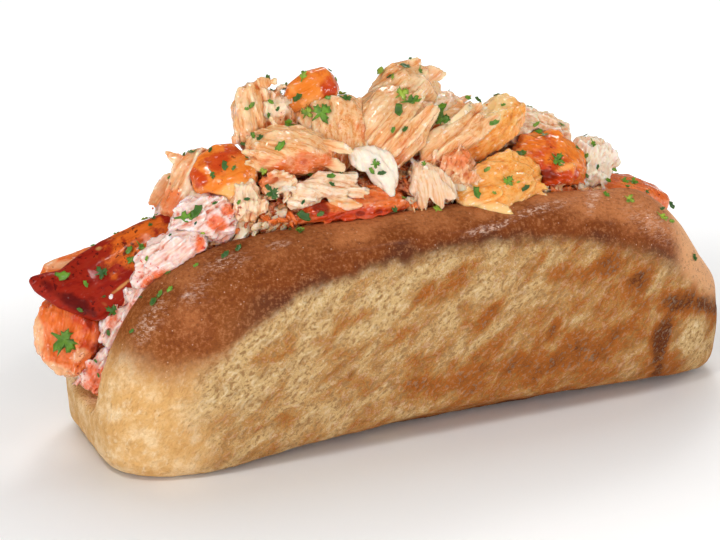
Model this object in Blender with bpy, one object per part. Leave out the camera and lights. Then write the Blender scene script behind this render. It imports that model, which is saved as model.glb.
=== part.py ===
"""A lobster roll: a griddled split-top bun, open along its top and at both ends,
heaped with shredded knuckle meat and whole pieces of claw and tail.

Lengths in this file are millimetres and become metres when a mesh is made.
The origin is on the bun's flat underside at its middle, +X runs along the bun,
-Y is its front and +Z is up.
"""
import math

import bmesh
import bpy
from mathutils import Vector, noise

MM = 0.001
GAP = 0.3                    # clearance between pieces that touch
SHARPEST = 1.5               # how far a swollen skin's corners may run ahead of its faces
AXIS_SHIFTS = (Vector((11.1, 3.7, 8.3)), Vector((5.9, 17.3, 2.1)), Vector((9.7, 1.3, 14.9)))
FLAT_ANGLE = math.radians(6.0)    # neighbouring facets closer than this become one
WELD = 0.02                  # points closer than this become one
SLIVER = 0.005               # edges and faces thinner than this go

# --- the bun -----------------------------------------------------------------
BUN_HALF_LENGTH = 76.0       # at the shoulder, where the crust begins to turn in
BUN_HALF_WIDTH = 25.3
BUN_HEIGHT = 49.5            # crown, beside the cut
SHOULDER_Z = 24.0
END_LEAN = (13.0, 18.5)      # how far the left and right ends lean in between shoulder and crown
SIDE_TURN = 3.4              # superellipse power of the crust's turn, seen from the end
END_TURN = 7.0               # the same, seen from the side
PLAN_POWER = 5.0             # superellipse power of the bun's plan
FOOT_POWER = 3.0             # the same, for the flat it rests on
CROWN_BOW = 1.4              # the crown is this much higher at its middle
FOOT_HALF_LENGTH = 67.0      # the flat that the bun rests on
FOOT_HALF_WIDTH = 14.0
EDGE_LIFT = 6.2              # the long bottom edges rise this much at their highest
EDGE_Z = 0.7                 # height of the bottom edges at the bun's ends
EDGE_REACH = 66.0            # half-length of the stretch that lifts
EDGE_PEAK = 11.0             # where along the bun they are highest
# The sides below the shoulder, from the bottom edge up: how much further each level
# reaches along and across than the shoulder, how far it follows the lift of the
# bottom edges, and how far above them it is.
HEEL_LEVELS = ((-1.2, -1.3, 1.0, 0.0), (1.3, -0.2, 0.9, 3.0), (2.0, 0.2, 0.0, 13.0))
BUN_AROUND = 48
CRUST_ANGLES = (0, 16, 30, 43, 55, 66, 76, 85)
CRUST_RIPPLE = 0.5           # unevenness of the baked surface
CRUST_RIPPLE_SPAN = 22.0

# --- the cut along its top -----------------------------------------------------
SLOT_FLOOR_Z = 13.0
SLOT_FLOOR_HALF = 4.2
SLOT_TOP_HALF = 10.0
SLOT_TOP_Z = 49.0
SLOT_BELLY = 0.7             # below 1, the walls bow outwards on their way up
SLOT_ROLL = 2.4              # how much the crust rolls back at the top edge
SLOT_LID_ROLL = 7.2          # how far back the cutter leans above it
MOUTH_FLARE = 5.0            # how much the cut opens out at the bun's ends
MOUTH_START = 63.0
MOUTH_LENGTH = 14.0
SLOT_STATIONS = (-92, -78, -75, -71, -67, -60, -40, -20, 0, 20, 40, 60, 67, 71, 75, 78, 92)
SLOT_RISE = (0.0, 0.1, 0.35, 0.65, 0.9, 1.0)
SLOT_LID_Z = 75.0

# --- the heap of shredded meat ---------------------------------------------------
FILL_ENDS = (-73.0, 70.5)
FILL_STATIONS = 13
FILL_RIPPLE = 0.9
FILL_RIPPLE_SPAN = 6.0
FILL_RIPPLE_RAMP = 4.0       # it grows to its full size over this height above the cut
FILL_INSET = 0.5             # how far it stays off the cut's walls
FILL_RISE = (0.0, 0.35, 1.0)     # levels of its sides inside the cut, as shares of their height
FILL_ARC = (20, 52)          # degrees round its mound, from the brim to the crest
FILL_BRIM_DEPTH = 1.0        # the brim is this far below the top of the cut
FILL_MOUND = 4.0             # the mound rises at least this much from its brim
FILL_SHOULDER = 2.0          # how much wider than the mound it may be below the brim
# Height and half-width of the heap above the cut, along the bun.
FILL_CREST = (
    (-73.0, 25.0, 4.5), (-66.0, 38.0, 6.5), (-56.0, 49.0, 8.5), (-44.0, 55.5, 11.0),
    (-30.0, 59.0, 12.0), (-12.0, 58.0, 12.5), (6.0, 57.0, 12.5), (24.0, 54.0, 12.0),
    (40.0, 50.5, 11.0), (54.0, 44.5, 9.5), (64.0, 40.0, 8.5), (70.5, 34.0, 6.5),
)


# --- the pieces of lobster -------------------------------------------------------
PIECE_RIPPLE_SPAN = 3.5
THINNEST = 0.3               # half-thickness of a piece where it closes
STEP_ALONG = 0.02            # share of a spine over which its direction is read
SEED_STEP = 0.37             # makes each piece's unevenness its own


class Piece:
    """One piece of lobster: a body lofted along a spine.

    spine is its centre line, widths and thicks are its full sizes at the spine's
    points, and facing is the way its broad side looks. ridges is how many fibre
    bundles run along it, and ridge is how deep the furrows between them are.
    start_round and end_round are the share of its length that each end takes to
    close, so a small value is a torn, blunt end.
    """

    def __init__(self, name, look, spine, widths, thicks, facing=(-0.25, -0.7, 0.65),
                 ridges=0, ridge=0.0, square=2.4, start_round=0.25, end_round=0.25,
                 lumpy=0.5, around=12, rings=6):
        self.name = name
        self.look = look
        self.spine = [Vector(point) for point in spine]
        self.widths = widths
        self.thicks = thicks
        self.facing = Vector(facing).normalized()
        self.ridges = ridges
        self.ridge = ridge
        self.square = square
        self.start_round = start_round
        self.end_round = end_round
        self.lumpy = lumpy
        self.around = around
        self.rings = rings


UP_FRONT = (-0.15, -0.55, 0.8)
FRONT = (-0.3, -0.85, 0.4)
TOP = (0.1, -0.2, 0.95)

# Pieces come in the order in which they keep their whole shape: each one is
# pressed in by those before it.
PIECES = (
    Piece("claw", "crimson", ((-87, 0, 42), (-80, 0.5, 38.5), (-70.5, 1, 38.5), (-60, 1, 44.5), (-50, 1.5, 50.5)),
          (1.2, 9, 17, 13, 8), (1.2, 4, 7, 8, 6), (-0.21, -0.7, 0.61),
          start_round=0.05, end_round=0.2, lumpy=0.3, around=13, rings=8),
    Piece("claw_root", "orange", ((-78.5, 2.5, 18), (-79, 2.5, 27), (-77.5, 3, 36)),
          (8, 15, 13), (8, 10, 8), (-0.45, -0.8, 0.3), square=3.0, lumpy=0.8, around=11, rings=6),
    Piece("thumb", "orange", ((-83, 7.5, 38.5), (-75, 7, 40.5), (-65, 5.5, 43)),
          (6, 7, 7), (5, 5.5, 5), (-0.1, -0.6, 0.8), square=3.2, start_round=0.12, lumpy=0.3, around=10),
    Piece("knuckle_end", "knuckle", ((-75, -1.2, 14.6), (-73, -2.2, 19), (-70.5, -3, 24.5)),
          (8, 10, 7), (6, 7, 5), FRONT, lumpy=1.0, around=10, rings=6),
    Piece("knuckle_low", "knuckle", ((-71, -3, 24.5), (-67.8, -4.5, 31), (-64.5, -6, 39)),
          (8, 9.5, 8), (6, 7, 5), FRONT, ridges=3, ridge=0.15, lumpy=1.0, around=11, rings=6),
    Piece("knuckle_mid", "knuckle", ((-66, -5.5, 39), (-60, -7.5, 45), (-51, -8.5, 50)),
          (6, 9.5, 8), (5, 6.5, 5), FRONT, ridges=3, ridge=0.2, lumpy=0.9, around=11, rings=7),
    Piece("knuckle_high", "knuckle", ((-57.5, -5.5, 50), (-51, -6, 53), (-43.5, -7.5, 53)),
          (6, 11, 10), (5, 8, 6), FRONT, ridges=4, ridge=0.2, lumpy=0.9, around=11, rings=6,
          end_round=0.15),
    Piece("tail_cap", "amber", ((-50, -2, 57), (-44, -1.5, 60.5), (-37.5, 0, 62)),
          (8, 14, 12), (5, 7, 6), UP_FRONT, start_round=0.2, end_round=0.3, lumpy=0.4, around=13, rings=6),
    Piece("crumb_knob", "pale", ((-41.5, -7.5, 50.5), (-41, -7, 55), (-40.5, -5.5, 60)),
          (6, 7.5, 6.5), (5, 6, 5), FRONT, lumpy=1.1, around=10, rings=5),
    Piece("snippet", "pale", ((-37.5, -7.5, 56.5), (-33.5, -7.2, 58.5), (-30, -8, 57)),
          (5, 6, 5), (4, 5, 4), FRONT, lumpy=0.8, around=8, rings=5),
    Piece("curl", "white", ((-32, -9.5, 53.5), (-27.5, -8.5, 56.5), (-21, -8.5, 57.5), (-15.5, -8, 57)),
          (4, 6, 6.5, 5), (3, 5, 5, 4), FRONT, ridges=4, ridge=0.2, around=11, rings=7, lumpy=0.7),
    Piece("flake", "white", ((-16, -6.5, 61.8), (-12, -6.8, 62), (-9.5, -7.8, 59.5), (-7.5, -9, 54.5)),
          (4.5, 5.5, 6.5, 5), (1.6, 2.4, 2.6, 2), FRONT, around=8, rings=6,
          start_round=0.1, end_round=0.1, lumpy=0.3),
    Piece("rim_skin", "orange", ((-31, -9.5, 51), (-18, -10, 52.3), (-3, -9.8, 51.5)),
          (4, 6, 5), (4, 5, 4), UP_FRONT, around=10, rings=7, lumpy=0.6),
    Piece("crown_front", "meat", ((-11, -1.5, 60.5), (-5.5, -0.5, 65.5), (1.5, 3, 72.5)),
          (12, 17.5, 14), (9, 12, 9), (-0.3, -0.75, 0.55), ridges=5, ridge=0.14,
          start_round=0.16, end_round=0.25, lumpy=0.5, around=16, rings=8),
    Piece("crown_back", "meat", ((-5, 6.5, 69.5), (0, 7.5, 72.5), (6, 8, 72), (10.5, 7, 67.5)),
          (6, 10, 11, 8), (7, 10, 10, 8), (0.1, -0.75, 0.65), ridges=4, ridge=0.14, lumpy=0.6, around=13, rings=6),
    Piece("fan_middle", "meat", ((1.5, -6, 58.5), (9, -4, 63.5), (17, -2.5, 67)),
          (4, 10, 10), (3.5, 5.5, 4.5), FRONT, ridges=3, ridge=0.16, end_round=0.08, lumpy=0.3, around=11, rings=6),
    Piece("fan_golden", "meat", ((9, -2.5, 58), (20, 0.5, 62.5), (31.5, 4.5, 66)),
          (6, 12, 8), (6, 8, 5), (-0.2, -0.65, 0.7), ridges=4, ridge=0.16, end_round=0.15,
          lumpy=0.7, around=13, rings=7),
    Piece("fan_top", "white", ((1.5, -2.5, 59), (6.5, 1, 66.5), (16, 5, 68.5)),
          (4, 9, 6), (4, 6, 4), FRONT, ridges=3, ridge=0.16, end_round=0.15, lumpy=0.6, around=10, rings=7),
    Piece("fan_hanging", "white", ((3, -7.5, 59), (1, -9, 56), (-1, -10.5, 52)),
          (5, 7, 4), (2.5, 3.2, 2), FRONT, end_round=0.15, lumpy=0.4, around=8, rings=6),
    Piece("crumb_mass", "pale", ((4.5, -8, 55), (8, -8, 58), (12.5, -7.5, 58)),
          (6, 9, 7), (5, 7, 5), FRONT, lumpy=1.2, around=10, rings=6),
    Piece("saddle", "meat", ((7.5, -10.5, 51), (13.5, -10.2, 51.3), (21.5, -9, 51.5), (32, -5.5, 54)),
          (7, 12, 16, 6), (5, 9, 9, 5), FRONT, ridges=4, ridge=0.12, lumpy=0.7, around=13, rings=7),
    Piece("claw_skin", "amber", ((25.5, -5, 51), (32, -3.5, 54.5), (38, -3, 54.5), (44.5, -4.5, 49.5)),
          (8, 15, 15, 10), (4, 7, 7, 5), UP_FRONT, lumpy=0.5, around=11, rings=6),
    Piece("end_strip", "orange", ((46, -3.5, 44), (57, -1.5, 43.8), (69.5, 1, 38.8)),
          (8, 12, 9), (5, 5.5, 5), TOP, square=3.4, start_round=0.12, end_round=0.15,
          lumpy=0.4, around=11, rings=6),
    Piece("fluff", "white", ((46.5, -3.5, 46.5), (49, 0, 51), (51.5, 4, 55)),
          (8, 11, 10), (7, 9, 7), (0.2, -0.7, 0.6), lumpy=1.3, around=11, rings=6),
    Piece("tail_flakes", "meat", ((-15, -1.5, 58), (-14.5, 0, 64), (-17.5, 3, 69), (-18, 5, 73)),
          (9, 14, 16, 12), (8, 10, 10, 7), FRONT, ridges=5, ridge=0.15, end_round=0.12,
          lumpy=0.7, around=16, rings=8),
    Piece("tail_slab", "meat", ((-38.5, -1.5, 64), (-29, -2.5, 64.3), (-19, -3.5, 61.5)),
          (8, 11.5, 8), (7, 10, 7), UP_FRONT, ridges=4, ridge=0.14, lumpy=0.8, around=13, rings=6),
    Piece("tail_block", "crimson", ((-25.5, 6.5, 71.5), (-20, 7.2, 74), (-14.5, 8, 75)),
          (6, 7.5, 7), (7, 9, 7), (-0.3, -0.8, 0.5), square=4.5, start_round=0.12, end_round=0.12,
          lumpy=0.3, around=10, rings=5),
    Piece("tail_tuft", "meat", ((-35, 4, 64), (-35, 6, 70.5), (-33.5, 8, 77)),
          (8, 9, 6), (8, 10, 7), (-0.3, -0.85, 0.4), ridges=4, ridge=0.18, end_round=0.1,
          lumpy=0.8, around=11, rings=6),
    Piece("tail_rough", "pale", ((-30, 5.5, 63.5), (-29.5, 6.5, 69.5), (-28, 8.5, 74.5)),
          (8, 10.5, 8), (8, 10, 8), FRONT, lumpy=1.2, around=10, rings=6),
    Piece("shoulder_flakes", "pale", ((-56, 2, 50), (-50.5, 3, 57), (-45, 4.5, 64.5)),
          (6, 9.5, 7.5), (7, 9, 8), (-0.5, -0.6, 0.6), ridges=4, ridge=0.2, lumpy=0.9, around=11, rings=6),
    Piece("ridge_flakes", "pale", ((23.5, 5, 60.5), (32, 6, 60), (39, 6.5, 58.5), (46, 6, 55)),
          (8, 10, 9, 7), (8, 10, 9, 7), UP_FRONT, ridges=4, ridge=0.18, lumpy=1.1, around=11, rings=6),
    # along the back of the heap
    Piece("back_knuckle", "knuckle", ((-56, 7.5, 47), (-47, 9.5, 53.5), (-37, 9, 58)),
          (8, 11, 8), (6, 9, 7), (-0.2, 0.8, 0.6), ridges=3, ridge=0.2, lumpy=1.0, around=10, rings=6),
    Piece("back_tail", "meat", ((-38, 9.5, 53), (-28, 11, 59), (-17, 10.5, 63)),
          (10, 14, 10), (7, 10, 8), (0, 0.8, 0.6), ridges=4, ridge=0.16, lumpy=0.7, around=11, rings=6),
    Piece("back_lobe", "meat", ((-19, 10.5, 52), (-7, 11.5, 59), (6, 10.5, 64)),
          (10, 14, 11), (7, 9, 8), (0, 0.8, 0.6), ridges=4, ridge=0.16, lumpy=0.7, around=11, rings=6),
    Piece("back_skin", "orange", ((3, 11.5, 51), (13, 12, 57), (24, 10, 60.5)),
          (9, 12, 9), (5, 8, 7), (0, 0.8, 0.6), lumpy=0.6, around=10, rings=6),
    Piece("back_flakes", "white", ((22, 11, 50), (32, 11, 53.5), (45, 9, 51)),
          (8, 10, 8), (6, 8, 6), (0, 0.8, 0.6), ridges=3, ridge=0.2, lumpy=0.9, around=10, rings=6),
)

COLOURS = {
    "bun": (0.60, 0.33, 0.13),
    "shredded": (0.86, 0.60, 0.46),
    "crimson": (0.55, 0.05, 0.02),
    "orange": (0.82, 0.25, 0.05),
    "amber": (0.80, 0.34, 0.07),
    "knuckle": (0.90, 0.62, 0.52),
    "pale": (0.86, 0.58, 0.34),
    "white": (0.90, 0.74, 0.58),
    "meat": (0.86, 0.55, 0.30),
}
ROUGHNESS = {"bun": 0.55, "shredded": 0.4, "crimson": 0.25, "orange": 0.3, "amber": 0.28,
             "knuckle": 0.35, "pale": 0.4, "white": 0.4, "meat": 0.35}


def clear_scene():
    """Leave nothing in the scene but what this file makes."""
    for item in list(bpy.data.objects):
        bpy.data.objects.remove(item)


def blend(values, share):
    """A smooth value at a share of the way along a list of evenly spaced ones."""
    place = share * (len(values) - 1)
    low = min(int(place), len(values) - 2)
    step = place - low
    before = values[max(low - 1, 0)]
    after = values[min(low + 2, len(values) - 1)]
    here, there = values[low], values[low + 1]
    slope_here = (there - before) * 0.5
    slope_there = (after - here) * 0.5
    cube = step ** 3
    square = step ** 2
    return (here * (2 * cube - 3 * square + 1) + slope_here * (cube - 2 * square + step)
            + there * (3 * square - 2 * cube) + slope_there * (cube - square))


def ladder(rows, place):
    """The straight-line values between the rows of a table whose first column is a place."""
    for low, high in zip(rows, rows[1:]):
        if place <= high[0]:
            share = max(0.0, (place - low[0]) / (high[0] - low[0]))
            return [a + (b - a) * share for a, b in zip(low[1:], high[1:])]
    return list(rows[-1][1:])


def ripple(point, scale, size, seed):
    """A smooth random push, the same on every run."""
    place = point / scale + Vector((seed * 7.3, seed * 3.1, seed * 5.7))
    return Vector([noise.noise(place + shift) for shift in AXIS_SHIFTS]) * size


def tube_mesh(rings, start_pole=None, end_pole=None):
    """A closed skin over equal rings of points, its ends closed by a pole or a flat face."""
    mesh = bmesh.new()
    loops = [[mesh.verts.new(point) for point in ring] for ring in rings]
    count = len(rings[0])
    for first, second in zip(loops, loops[1:]):
        for index in range(count):
            after = (index + 1) % count
            mesh.faces.new((first[index], first[after], second[after], second[index]))
    for loop, pole, flip in ((loops[0], start_pole, True), (loops[-1], end_pole, False)):
        if pole is None:
            mesh.faces.new(loop if not flip else loop[::-1])
            continue
        tip = mesh.verts.new(pole)
        for index in range(count):
            edge = [loop[index], loop[(index + 1) % count], tip]
            mesh.faces.new(edge if not flip else edge[::-1])
    bmesh.ops.triangulate(mesh, faces=mesh.faces[:])
    bmesh.ops.recalc_face_normals(mesh, faces=mesh.faces[:])
    return mesh


def swollen(mesh, by):
    """The same skin moved outwards by a distance, or inwards by a negative one."""
    mesh.normal_update()
    moves = [(vert, vert.normal * by * min(vert.calc_shell_factor(), SHARPEST)) for vert in mesh.verts]
    for vert, move in moves:
        vert.co += move
    return mesh


def as_object(mesh, name, look=None):
    """Turn a bmesh in millimetres into an object in metres; one with no look is a cutter."""
    data = bpy.data.meshes.new(name)
    bmesh.ops.scale(mesh, vec=(MM, MM, MM), verts=mesh.verts[:])
    mesh.to_mesh(data)
    mesh.free()
    item = bpy.data.objects.new(name, data)
    bpy.context.scene.collection.objects.link(item)
    if look is None:
        item.hide_render = True
        item.display_type = "WIRE"
    else:
        data.materials.append(material(look))
    return item


def material(look):
    """The plain finish of one kind of surface."""
    found = bpy.data.materials.get(look)
    if found:
        return found
    made = bpy.data.materials.new(look)
    made.use_nodes = True
    shader = made.node_tree.nodes["Principled BSDF"]
    shader.inputs["Base Color"].default_value = (*COLOURS[look], 1.0)
    shader.inputs["Roughness"].default_value = ROUGHNESS[look]
    shader.inputs["Metallic"].default_value = 0.0
    return made


def plan_ring(half_lengths, half_width, height, power=PLAN_POWER):
    """One level of the bun: a rounded oblong, its left and right reach given apart."""
    points = []
    for step in range(BUN_AROUND):
        angle = 2 * math.pi * step / BUN_AROUND
        cosine, sine = math.cos(angle), math.sin(angle)
        reach = half_lengths[1] if cosine > 0 else half_lengths[0]
        x = reach * math.copysign(abs(cosine) ** (2 / power), cosine)
        y = half_width * math.copysign(abs(sine) ** (2 / power), sine)
        points.append(Vector((x, y, height(x))))
    return points


def both(half_length):
    """The same reach to the left and to the right."""
    return half_length, half_length


def edge_height(x):
    """The long bottom edges lift off the table towards the middle of the bun."""
    share = max(0.0, 1 - ((x - EDGE_PEAK) / EDGE_REACH) ** 2)
    return EDGE_Z + EDGE_LIFT * share


def loaf():
    """The bun before it is cut: foot, bulging sides and a crust that turns over the top."""
    rings = [plan_ring(both(FOOT_HALF_LENGTH), FOOT_HALF_WIDTH, lambda x: 0.0, FOOT_POWER)]
    for longer, wider, follow, above in HEEL_LEVELS:

        def heel_height(x, follow=follow, above=above):
            return edge_height(x) * follow + above
        rings.append(plan_ring(both(BUN_HALF_LENGTH + longer), BUN_HALF_WIDTH + wider, heel_height))
    rise = BUN_HEIGHT - SHOULDER_Z
    for degrees in CRUST_ANGLES:
        angle = math.radians(degrees)
        lift = math.sin(angle) ** (2 / SIDE_TURN)
        half_width = BUN_HALF_WIDTH * math.cos(angle) ** (2 / SIDE_TURN)
        turn_in = math.cos(angle) ** (2 / END_TURN)
        half_lengths = [(BUN_HALF_LENGTH - lean * lift) * turn_in for lean in END_LEAN]

        def height(x, lift=lift, reach=half_lengths[0]):
            bow = CROWN_BOW * lift * (1 - (x / reach) ** 2)
            return SHOULDER_Z + rise * lift + bow
        rings.append(plan_ring(half_lengths, half_width, height))
    for ring in rings[2:]:
        for point in ring:
            point += ripple(point, CRUST_RIPPLE_SPAN, CRUST_RIPPLE, 1)
    top = Vector((0, 0, SHOULDER_Z + rise + CROWN_BOW))
    return tube_mesh(rings, None, top)


def slot_half_width(x, rise):
    """Half of the cut's width at a share of its height, wider at the bun's two mouths."""
    flare = MOUTH_FLARE * min(1.0, max(0.0, (abs(x) - MOUTH_START) / MOUTH_LENGTH)) ** 2
    return SLOT_FLOOR_HALF + (SLOT_TOP_HALF - SLOT_FLOOR_HALF) * rise ** SLOT_BELLY + flare


def slot_section(x, inset):
    """The cut's outline at one place along the bun, up one side and down the other."""
    right = []
    for rise in SLOT_RISE:
        z = SLOT_FLOOR_Z + (SLOT_TOP_Z - SLOT_FLOOR_Z) * rise + inset * (1 - rise)
        right.append((slot_half_width(x, rise) - inset, z))
    right.append((slot_half_width(x, 1.0) + SLOT_ROLL - inset, SLOT_TOP_Z + SLOT_ROLL))
    right.append((slot_half_width(x, 1.0) + SLOT_LID_ROLL - inset, SLOT_LID_Z))
    left = [(-y, z) for y, z in reversed(right)]
    return [Vector((x, y, z)) for y, z in right + left]


def slot(inset=0.0):
    """The cutter that opens the bun, or the smaller room that is left for its filling."""
    return tube_mesh([slot_section(x, inset) for x in SLOT_STATIONS])


def heap_section(x):
    """The shredded meat at one place: it fills the cut and mounds up above it."""
    crest, half = ladder(FILL_CREST, x)
    brim = min(crest - FILL_MOUND, SLOT_TOP_Z - FILL_BRIM_DEPTH)
    right = []
    for rise in FILL_RISE:
        z = SLOT_FLOOR_Z + FILL_INSET + (brim - SLOT_FLOOR_Z - FILL_INSET) * rise
        depth = (z - SLOT_FLOOR_Z) / (SLOT_TOP_Z - SLOT_FLOOR_Z)
        width = slot_half_width(min(abs(x), MOUTH_START), min(1.0, max(0.0, depth))) - FILL_INSET
        right.append((min(width, half + FILL_SHOULDER), z))
    for degrees in FILL_ARC:
        angle = math.radians(degrees)
        right.append((half * math.cos(angle), brim + (crest - brim) * math.sin(angle)))
    left = [(-y, z) for y, z in reversed(right)]
    return [Vector((x, y, z)) for y, z in right + [(0.0, crest)] + left]


def heap():
    """The mound of shredded meat that runs the whole length of the bun."""
    low, high = FILL_ENDS
    places = [low + (high - low) * step / (FILL_STATIONS - 1) for step in range(FILL_STATIONS)]
    rings = [heap_section(x) for x in places]
    for ring in rings:
        for point in ring:
            share = min(1.0, max(0.0, (point.z - SLOT_TOP_Z) / FILL_RIPPLE_RAMP))
            point += ripple(point, FILL_RIPPLE_SPAN, FILL_RIPPLE, 2) * share
    return tube_mesh(rings)


def piece_rings(piece):
    """Rings of points around a piece's spine, with its bundles, taper and unevenness."""
    rings = []
    count = piece.rings
    seed = len(piece.name) + piece.spine[0].x * SEED_STEP
    for step in range(count):
        share = 0.5 - 0.5 * math.cos(math.pi * (step + 0.5) / count)
        centre = blend(piece.spine, share)
        ahead = blend(piece.spine, min(1.0, share + STEP_ALONG))
        behind = blend(piece.spine, max(0.0, share - STEP_ALONG))
        along = (ahead - behind).normalized()
        side = along.cross(piece.facing).normalized()
        front = side.cross(along).normalized()
        start = min(1.0, share / piece.start_round)
        end = min(1.0, (1 - share) / piece.end_round)
        close = math.sqrt(1 - (1 - start) ** 2) * math.sqrt(1 - (1 - end) ** 2)
        half_width = max(THINNEST, blend(piece.widths, share) * 0.5 * close)
        half_thick = max(THINNEST, blend(piece.thicks, share) * 0.5 * close)
        ring = []
        for turn in range(piece.around):
            angle = 2 * math.pi * turn / piece.around
            cosine, sine = math.cos(angle), math.sin(angle)
            across = math.copysign(abs(cosine) ** (2 / piece.square), cosine)
            out = math.copysign(abs(sine) ** (2 / piece.square), sine)
            furrow = 1 - piece.ridge * (0.5 - 0.5 * math.cos(2 * piece.ridges * angle))
            point = centre + side * (across * half_width * furrow) + front * (out * half_thick * furrow)
            point += ripple(point, PIECE_RIPPLE_SPAN, piece.lumpy, seed)
            ring.append(point)
        rings.append(ring)
    return rings


def piece_mesh(piece):
    """A piece of lobster as one closed skin."""
    return tube_mesh(piece_rings(piece), piece.spine[0], piece.spine[-1])


def carve(item, cutters):
    """Take each cutter's shape out of an object, and keep what is cut as plain mesh."""
    for cutter in cutters:
        cut = item.modifiers.new("cut", "BOOLEAN")
        cut.operation = "DIFFERENCE"
        cut.solver = "EXACT"
        cut.object = cutter
    bpy.context.view_layer.update()
    evaluated = item.evaluated_get(bpy.context.evaluated_depsgraph_get())
    data = bpy.data.meshes.new_from_object(evaluated)
    data.name = item.name
    item.modifiers.clear()
    item.data = data
    tidy(data)


def tidy(data):
    """Weld hair-thin edges and keep the largest of the bodies that a cut leaves."""
    mesh = bmesh.new()
    mesh.from_mesh(data)
    bmesh.ops.remove_doubles(mesh, verts=mesh.verts[:], dist=WELD * MM)
    bmesh.ops.dissolve_degenerate(mesh, edges=mesh.edges[:], dist=SLIVER * MM)
    bmesh.ops.dissolve_limit(mesh, angle_limit=FLAT_ANGLE, verts=mesh.verts[:], edges=mesh.edges[:])
    bmesh.ops.triangulate(mesh, faces=mesh.faces[:])
    islands = find_islands(mesh)
    largest = max(islands, key=island_volume)
    extra = [vert for island in islands if island is not largest for vert in island]
    bmesh.ops.delete(mesh, geom=extra, context="VERTS")
    bmesh.ops.recalc_face_normals(mesh, faces=mesh.faces[:])
    mesh.to_mesh(data)
    mesh.free()


def find_islands(mesh):
    """The separate bodies of a mesh, as lists of their points."""
    seen = set()
    islands = []
    for seed in mesh.verts:
        if seed in seen:
            continue
        island = []
        queue = [seed]
        seen.add(seed)
        while queue:
            vert = queue.pop()
            island.append(vert)
            for edge in vert.link_edges:
                other = edge.other_vert(vert)
                if other not in seen:
                    seen.add(other)
                    queue.append(other)
        islands.append(island)
    return islands


def island_volume(island):
    """The volume inside one body, from the pyramids under its triangles."""
    faces = {face for vert in island for face in vert.link_faces}
    total = 0.0
    for face in faces:
        a, b, c = (vert.co for vert in face.verts)
        total += a.dot(b.cross(c)) / 6
    return abs(total)


def boxes_touch(first, second):
    """Whether two objects' boxes overlap."""
    for axis in range(3):
        lows = [min(vert.co[axis] for vert in item.data.vertices) for item in (first, second)]
        highs = [max(vert.co[axis] for vert in item.data.vertices) for item in (first, second)]
        if lows[0] > highs[1] or lows[1] > highs[0]:
            return False
    return True


def build():
    """Make the bun, the pieces and the shredded meat, each clear of the others."""
    clear_scene()
    bun = as_object(loaf(), "bun", "bun")
    carve(bun, [as_object(slot(), "slot_cutter")])
    keep_out = as_object(swollen(loaf(), GAP), "bun_clearance")
    carve(keep_out, [as_object(slot(GAP), "slot_core")])

    clearances = []
    for piece in PIECES:
        item = as_object(piece_mesh(piece), piece.name, piece.look)
        near = [other for other in clearances + [keep_out] if boxes_touch(item, other)]
        carve(item, near)
        clearances.append(as_object(swollen(piece_mesh(piece), GAP), piece.name + "_clearance"))

    shredded = as_object(heap(), "shredded_meat", "shredded")
    carve(shredded, clearances + [keep_out])


build()
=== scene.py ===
"""The looks of a lobster roll: a griddled split-top bun, heaped with buttered claw,
knuckle and tail meat and chopped parsley.

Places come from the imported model, whose origin is on the bun's underside at its
middle, with +X along the bun, -Y towards its front and +Z up. Sizes are given in
millimetres and turned into metres by MM.
"""

import itertools
import math
import random

import bmesh
import bpy
import numpy as np
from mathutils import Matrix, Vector
from mathutils.bvhtree import BVHTree


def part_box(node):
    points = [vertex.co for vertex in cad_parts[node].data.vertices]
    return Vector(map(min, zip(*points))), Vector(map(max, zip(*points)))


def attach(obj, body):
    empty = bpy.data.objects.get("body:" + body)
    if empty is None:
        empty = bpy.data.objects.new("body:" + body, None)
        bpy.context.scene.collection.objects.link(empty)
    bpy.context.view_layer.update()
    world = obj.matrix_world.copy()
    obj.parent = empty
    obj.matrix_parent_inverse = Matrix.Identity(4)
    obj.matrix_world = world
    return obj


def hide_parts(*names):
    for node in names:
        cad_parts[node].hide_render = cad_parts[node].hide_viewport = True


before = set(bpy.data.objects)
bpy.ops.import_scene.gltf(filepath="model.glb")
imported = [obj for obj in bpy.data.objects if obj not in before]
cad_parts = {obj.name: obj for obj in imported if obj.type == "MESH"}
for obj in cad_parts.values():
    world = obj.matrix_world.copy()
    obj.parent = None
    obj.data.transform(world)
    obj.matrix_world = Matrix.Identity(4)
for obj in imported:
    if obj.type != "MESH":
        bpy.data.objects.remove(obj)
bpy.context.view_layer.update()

MM = 0.001
GOLDEN = math.pi * (3 - math.sqrt(5))

# The picture plane of the front corner view, in which grains and toppings are laid out.
CAMERA_PLACE = Vector((-173.74, -372.58, 183.03)) * MM
CAMERA_AIM = Vector((0.37541, 0.85975, -0.34625))
CAMERA_LENS = 94.95
CAMERA_SENSOR = 36.0
VIEW_RIGHT = Vector((0.9165, -0.4002, 0.0))
VIEW_UP = Vector((0.1386, 0.3174, 0.9382))
VIEW_NEAR = -CAMERA_AIM
VIEW_DISTANCE = CAMERA_PLACE.length
OUTLINES = {}


# --- unevenness ------------------------------------------------------------------
def lattice(cells, seed):
    """A fixed value from 0 to 1 for each whole-numbered cell."""
    x, y, z = (cells[..., axis].astype(np.int64) for axis in range(3))
    mixed = x * 374761393 + y * 668265263 + z * 1440662683 + seed * 1274126177
    mixed = (mixed ^ (mixed >> 13)) * 1274126177
    mixed = mixed ^ (mixed >> 16)
    return (mixed & 0xFFFFFF) / 0xFFFFFF


def cloud(places, size, seed=0):
    """Smooth unevenness from -1 to 1, with lumps of about the given size."""
    scaled = places / (np.array(size) * MM)
    cell = np.floor(scaled)
    part = scaled - cell
    ease = part ** 3 * (part * (part * 6 - 15) + 10)
    total = np.zeros(len(places))
    for corner in itertools.product((0, 1), repeat=3):
        weight = np.prod(np.where(corner, ease, 1 - ease), axis=-1)
        total += weight * lattice(cell + corner, seed)
    return total * 2 - 1


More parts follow.
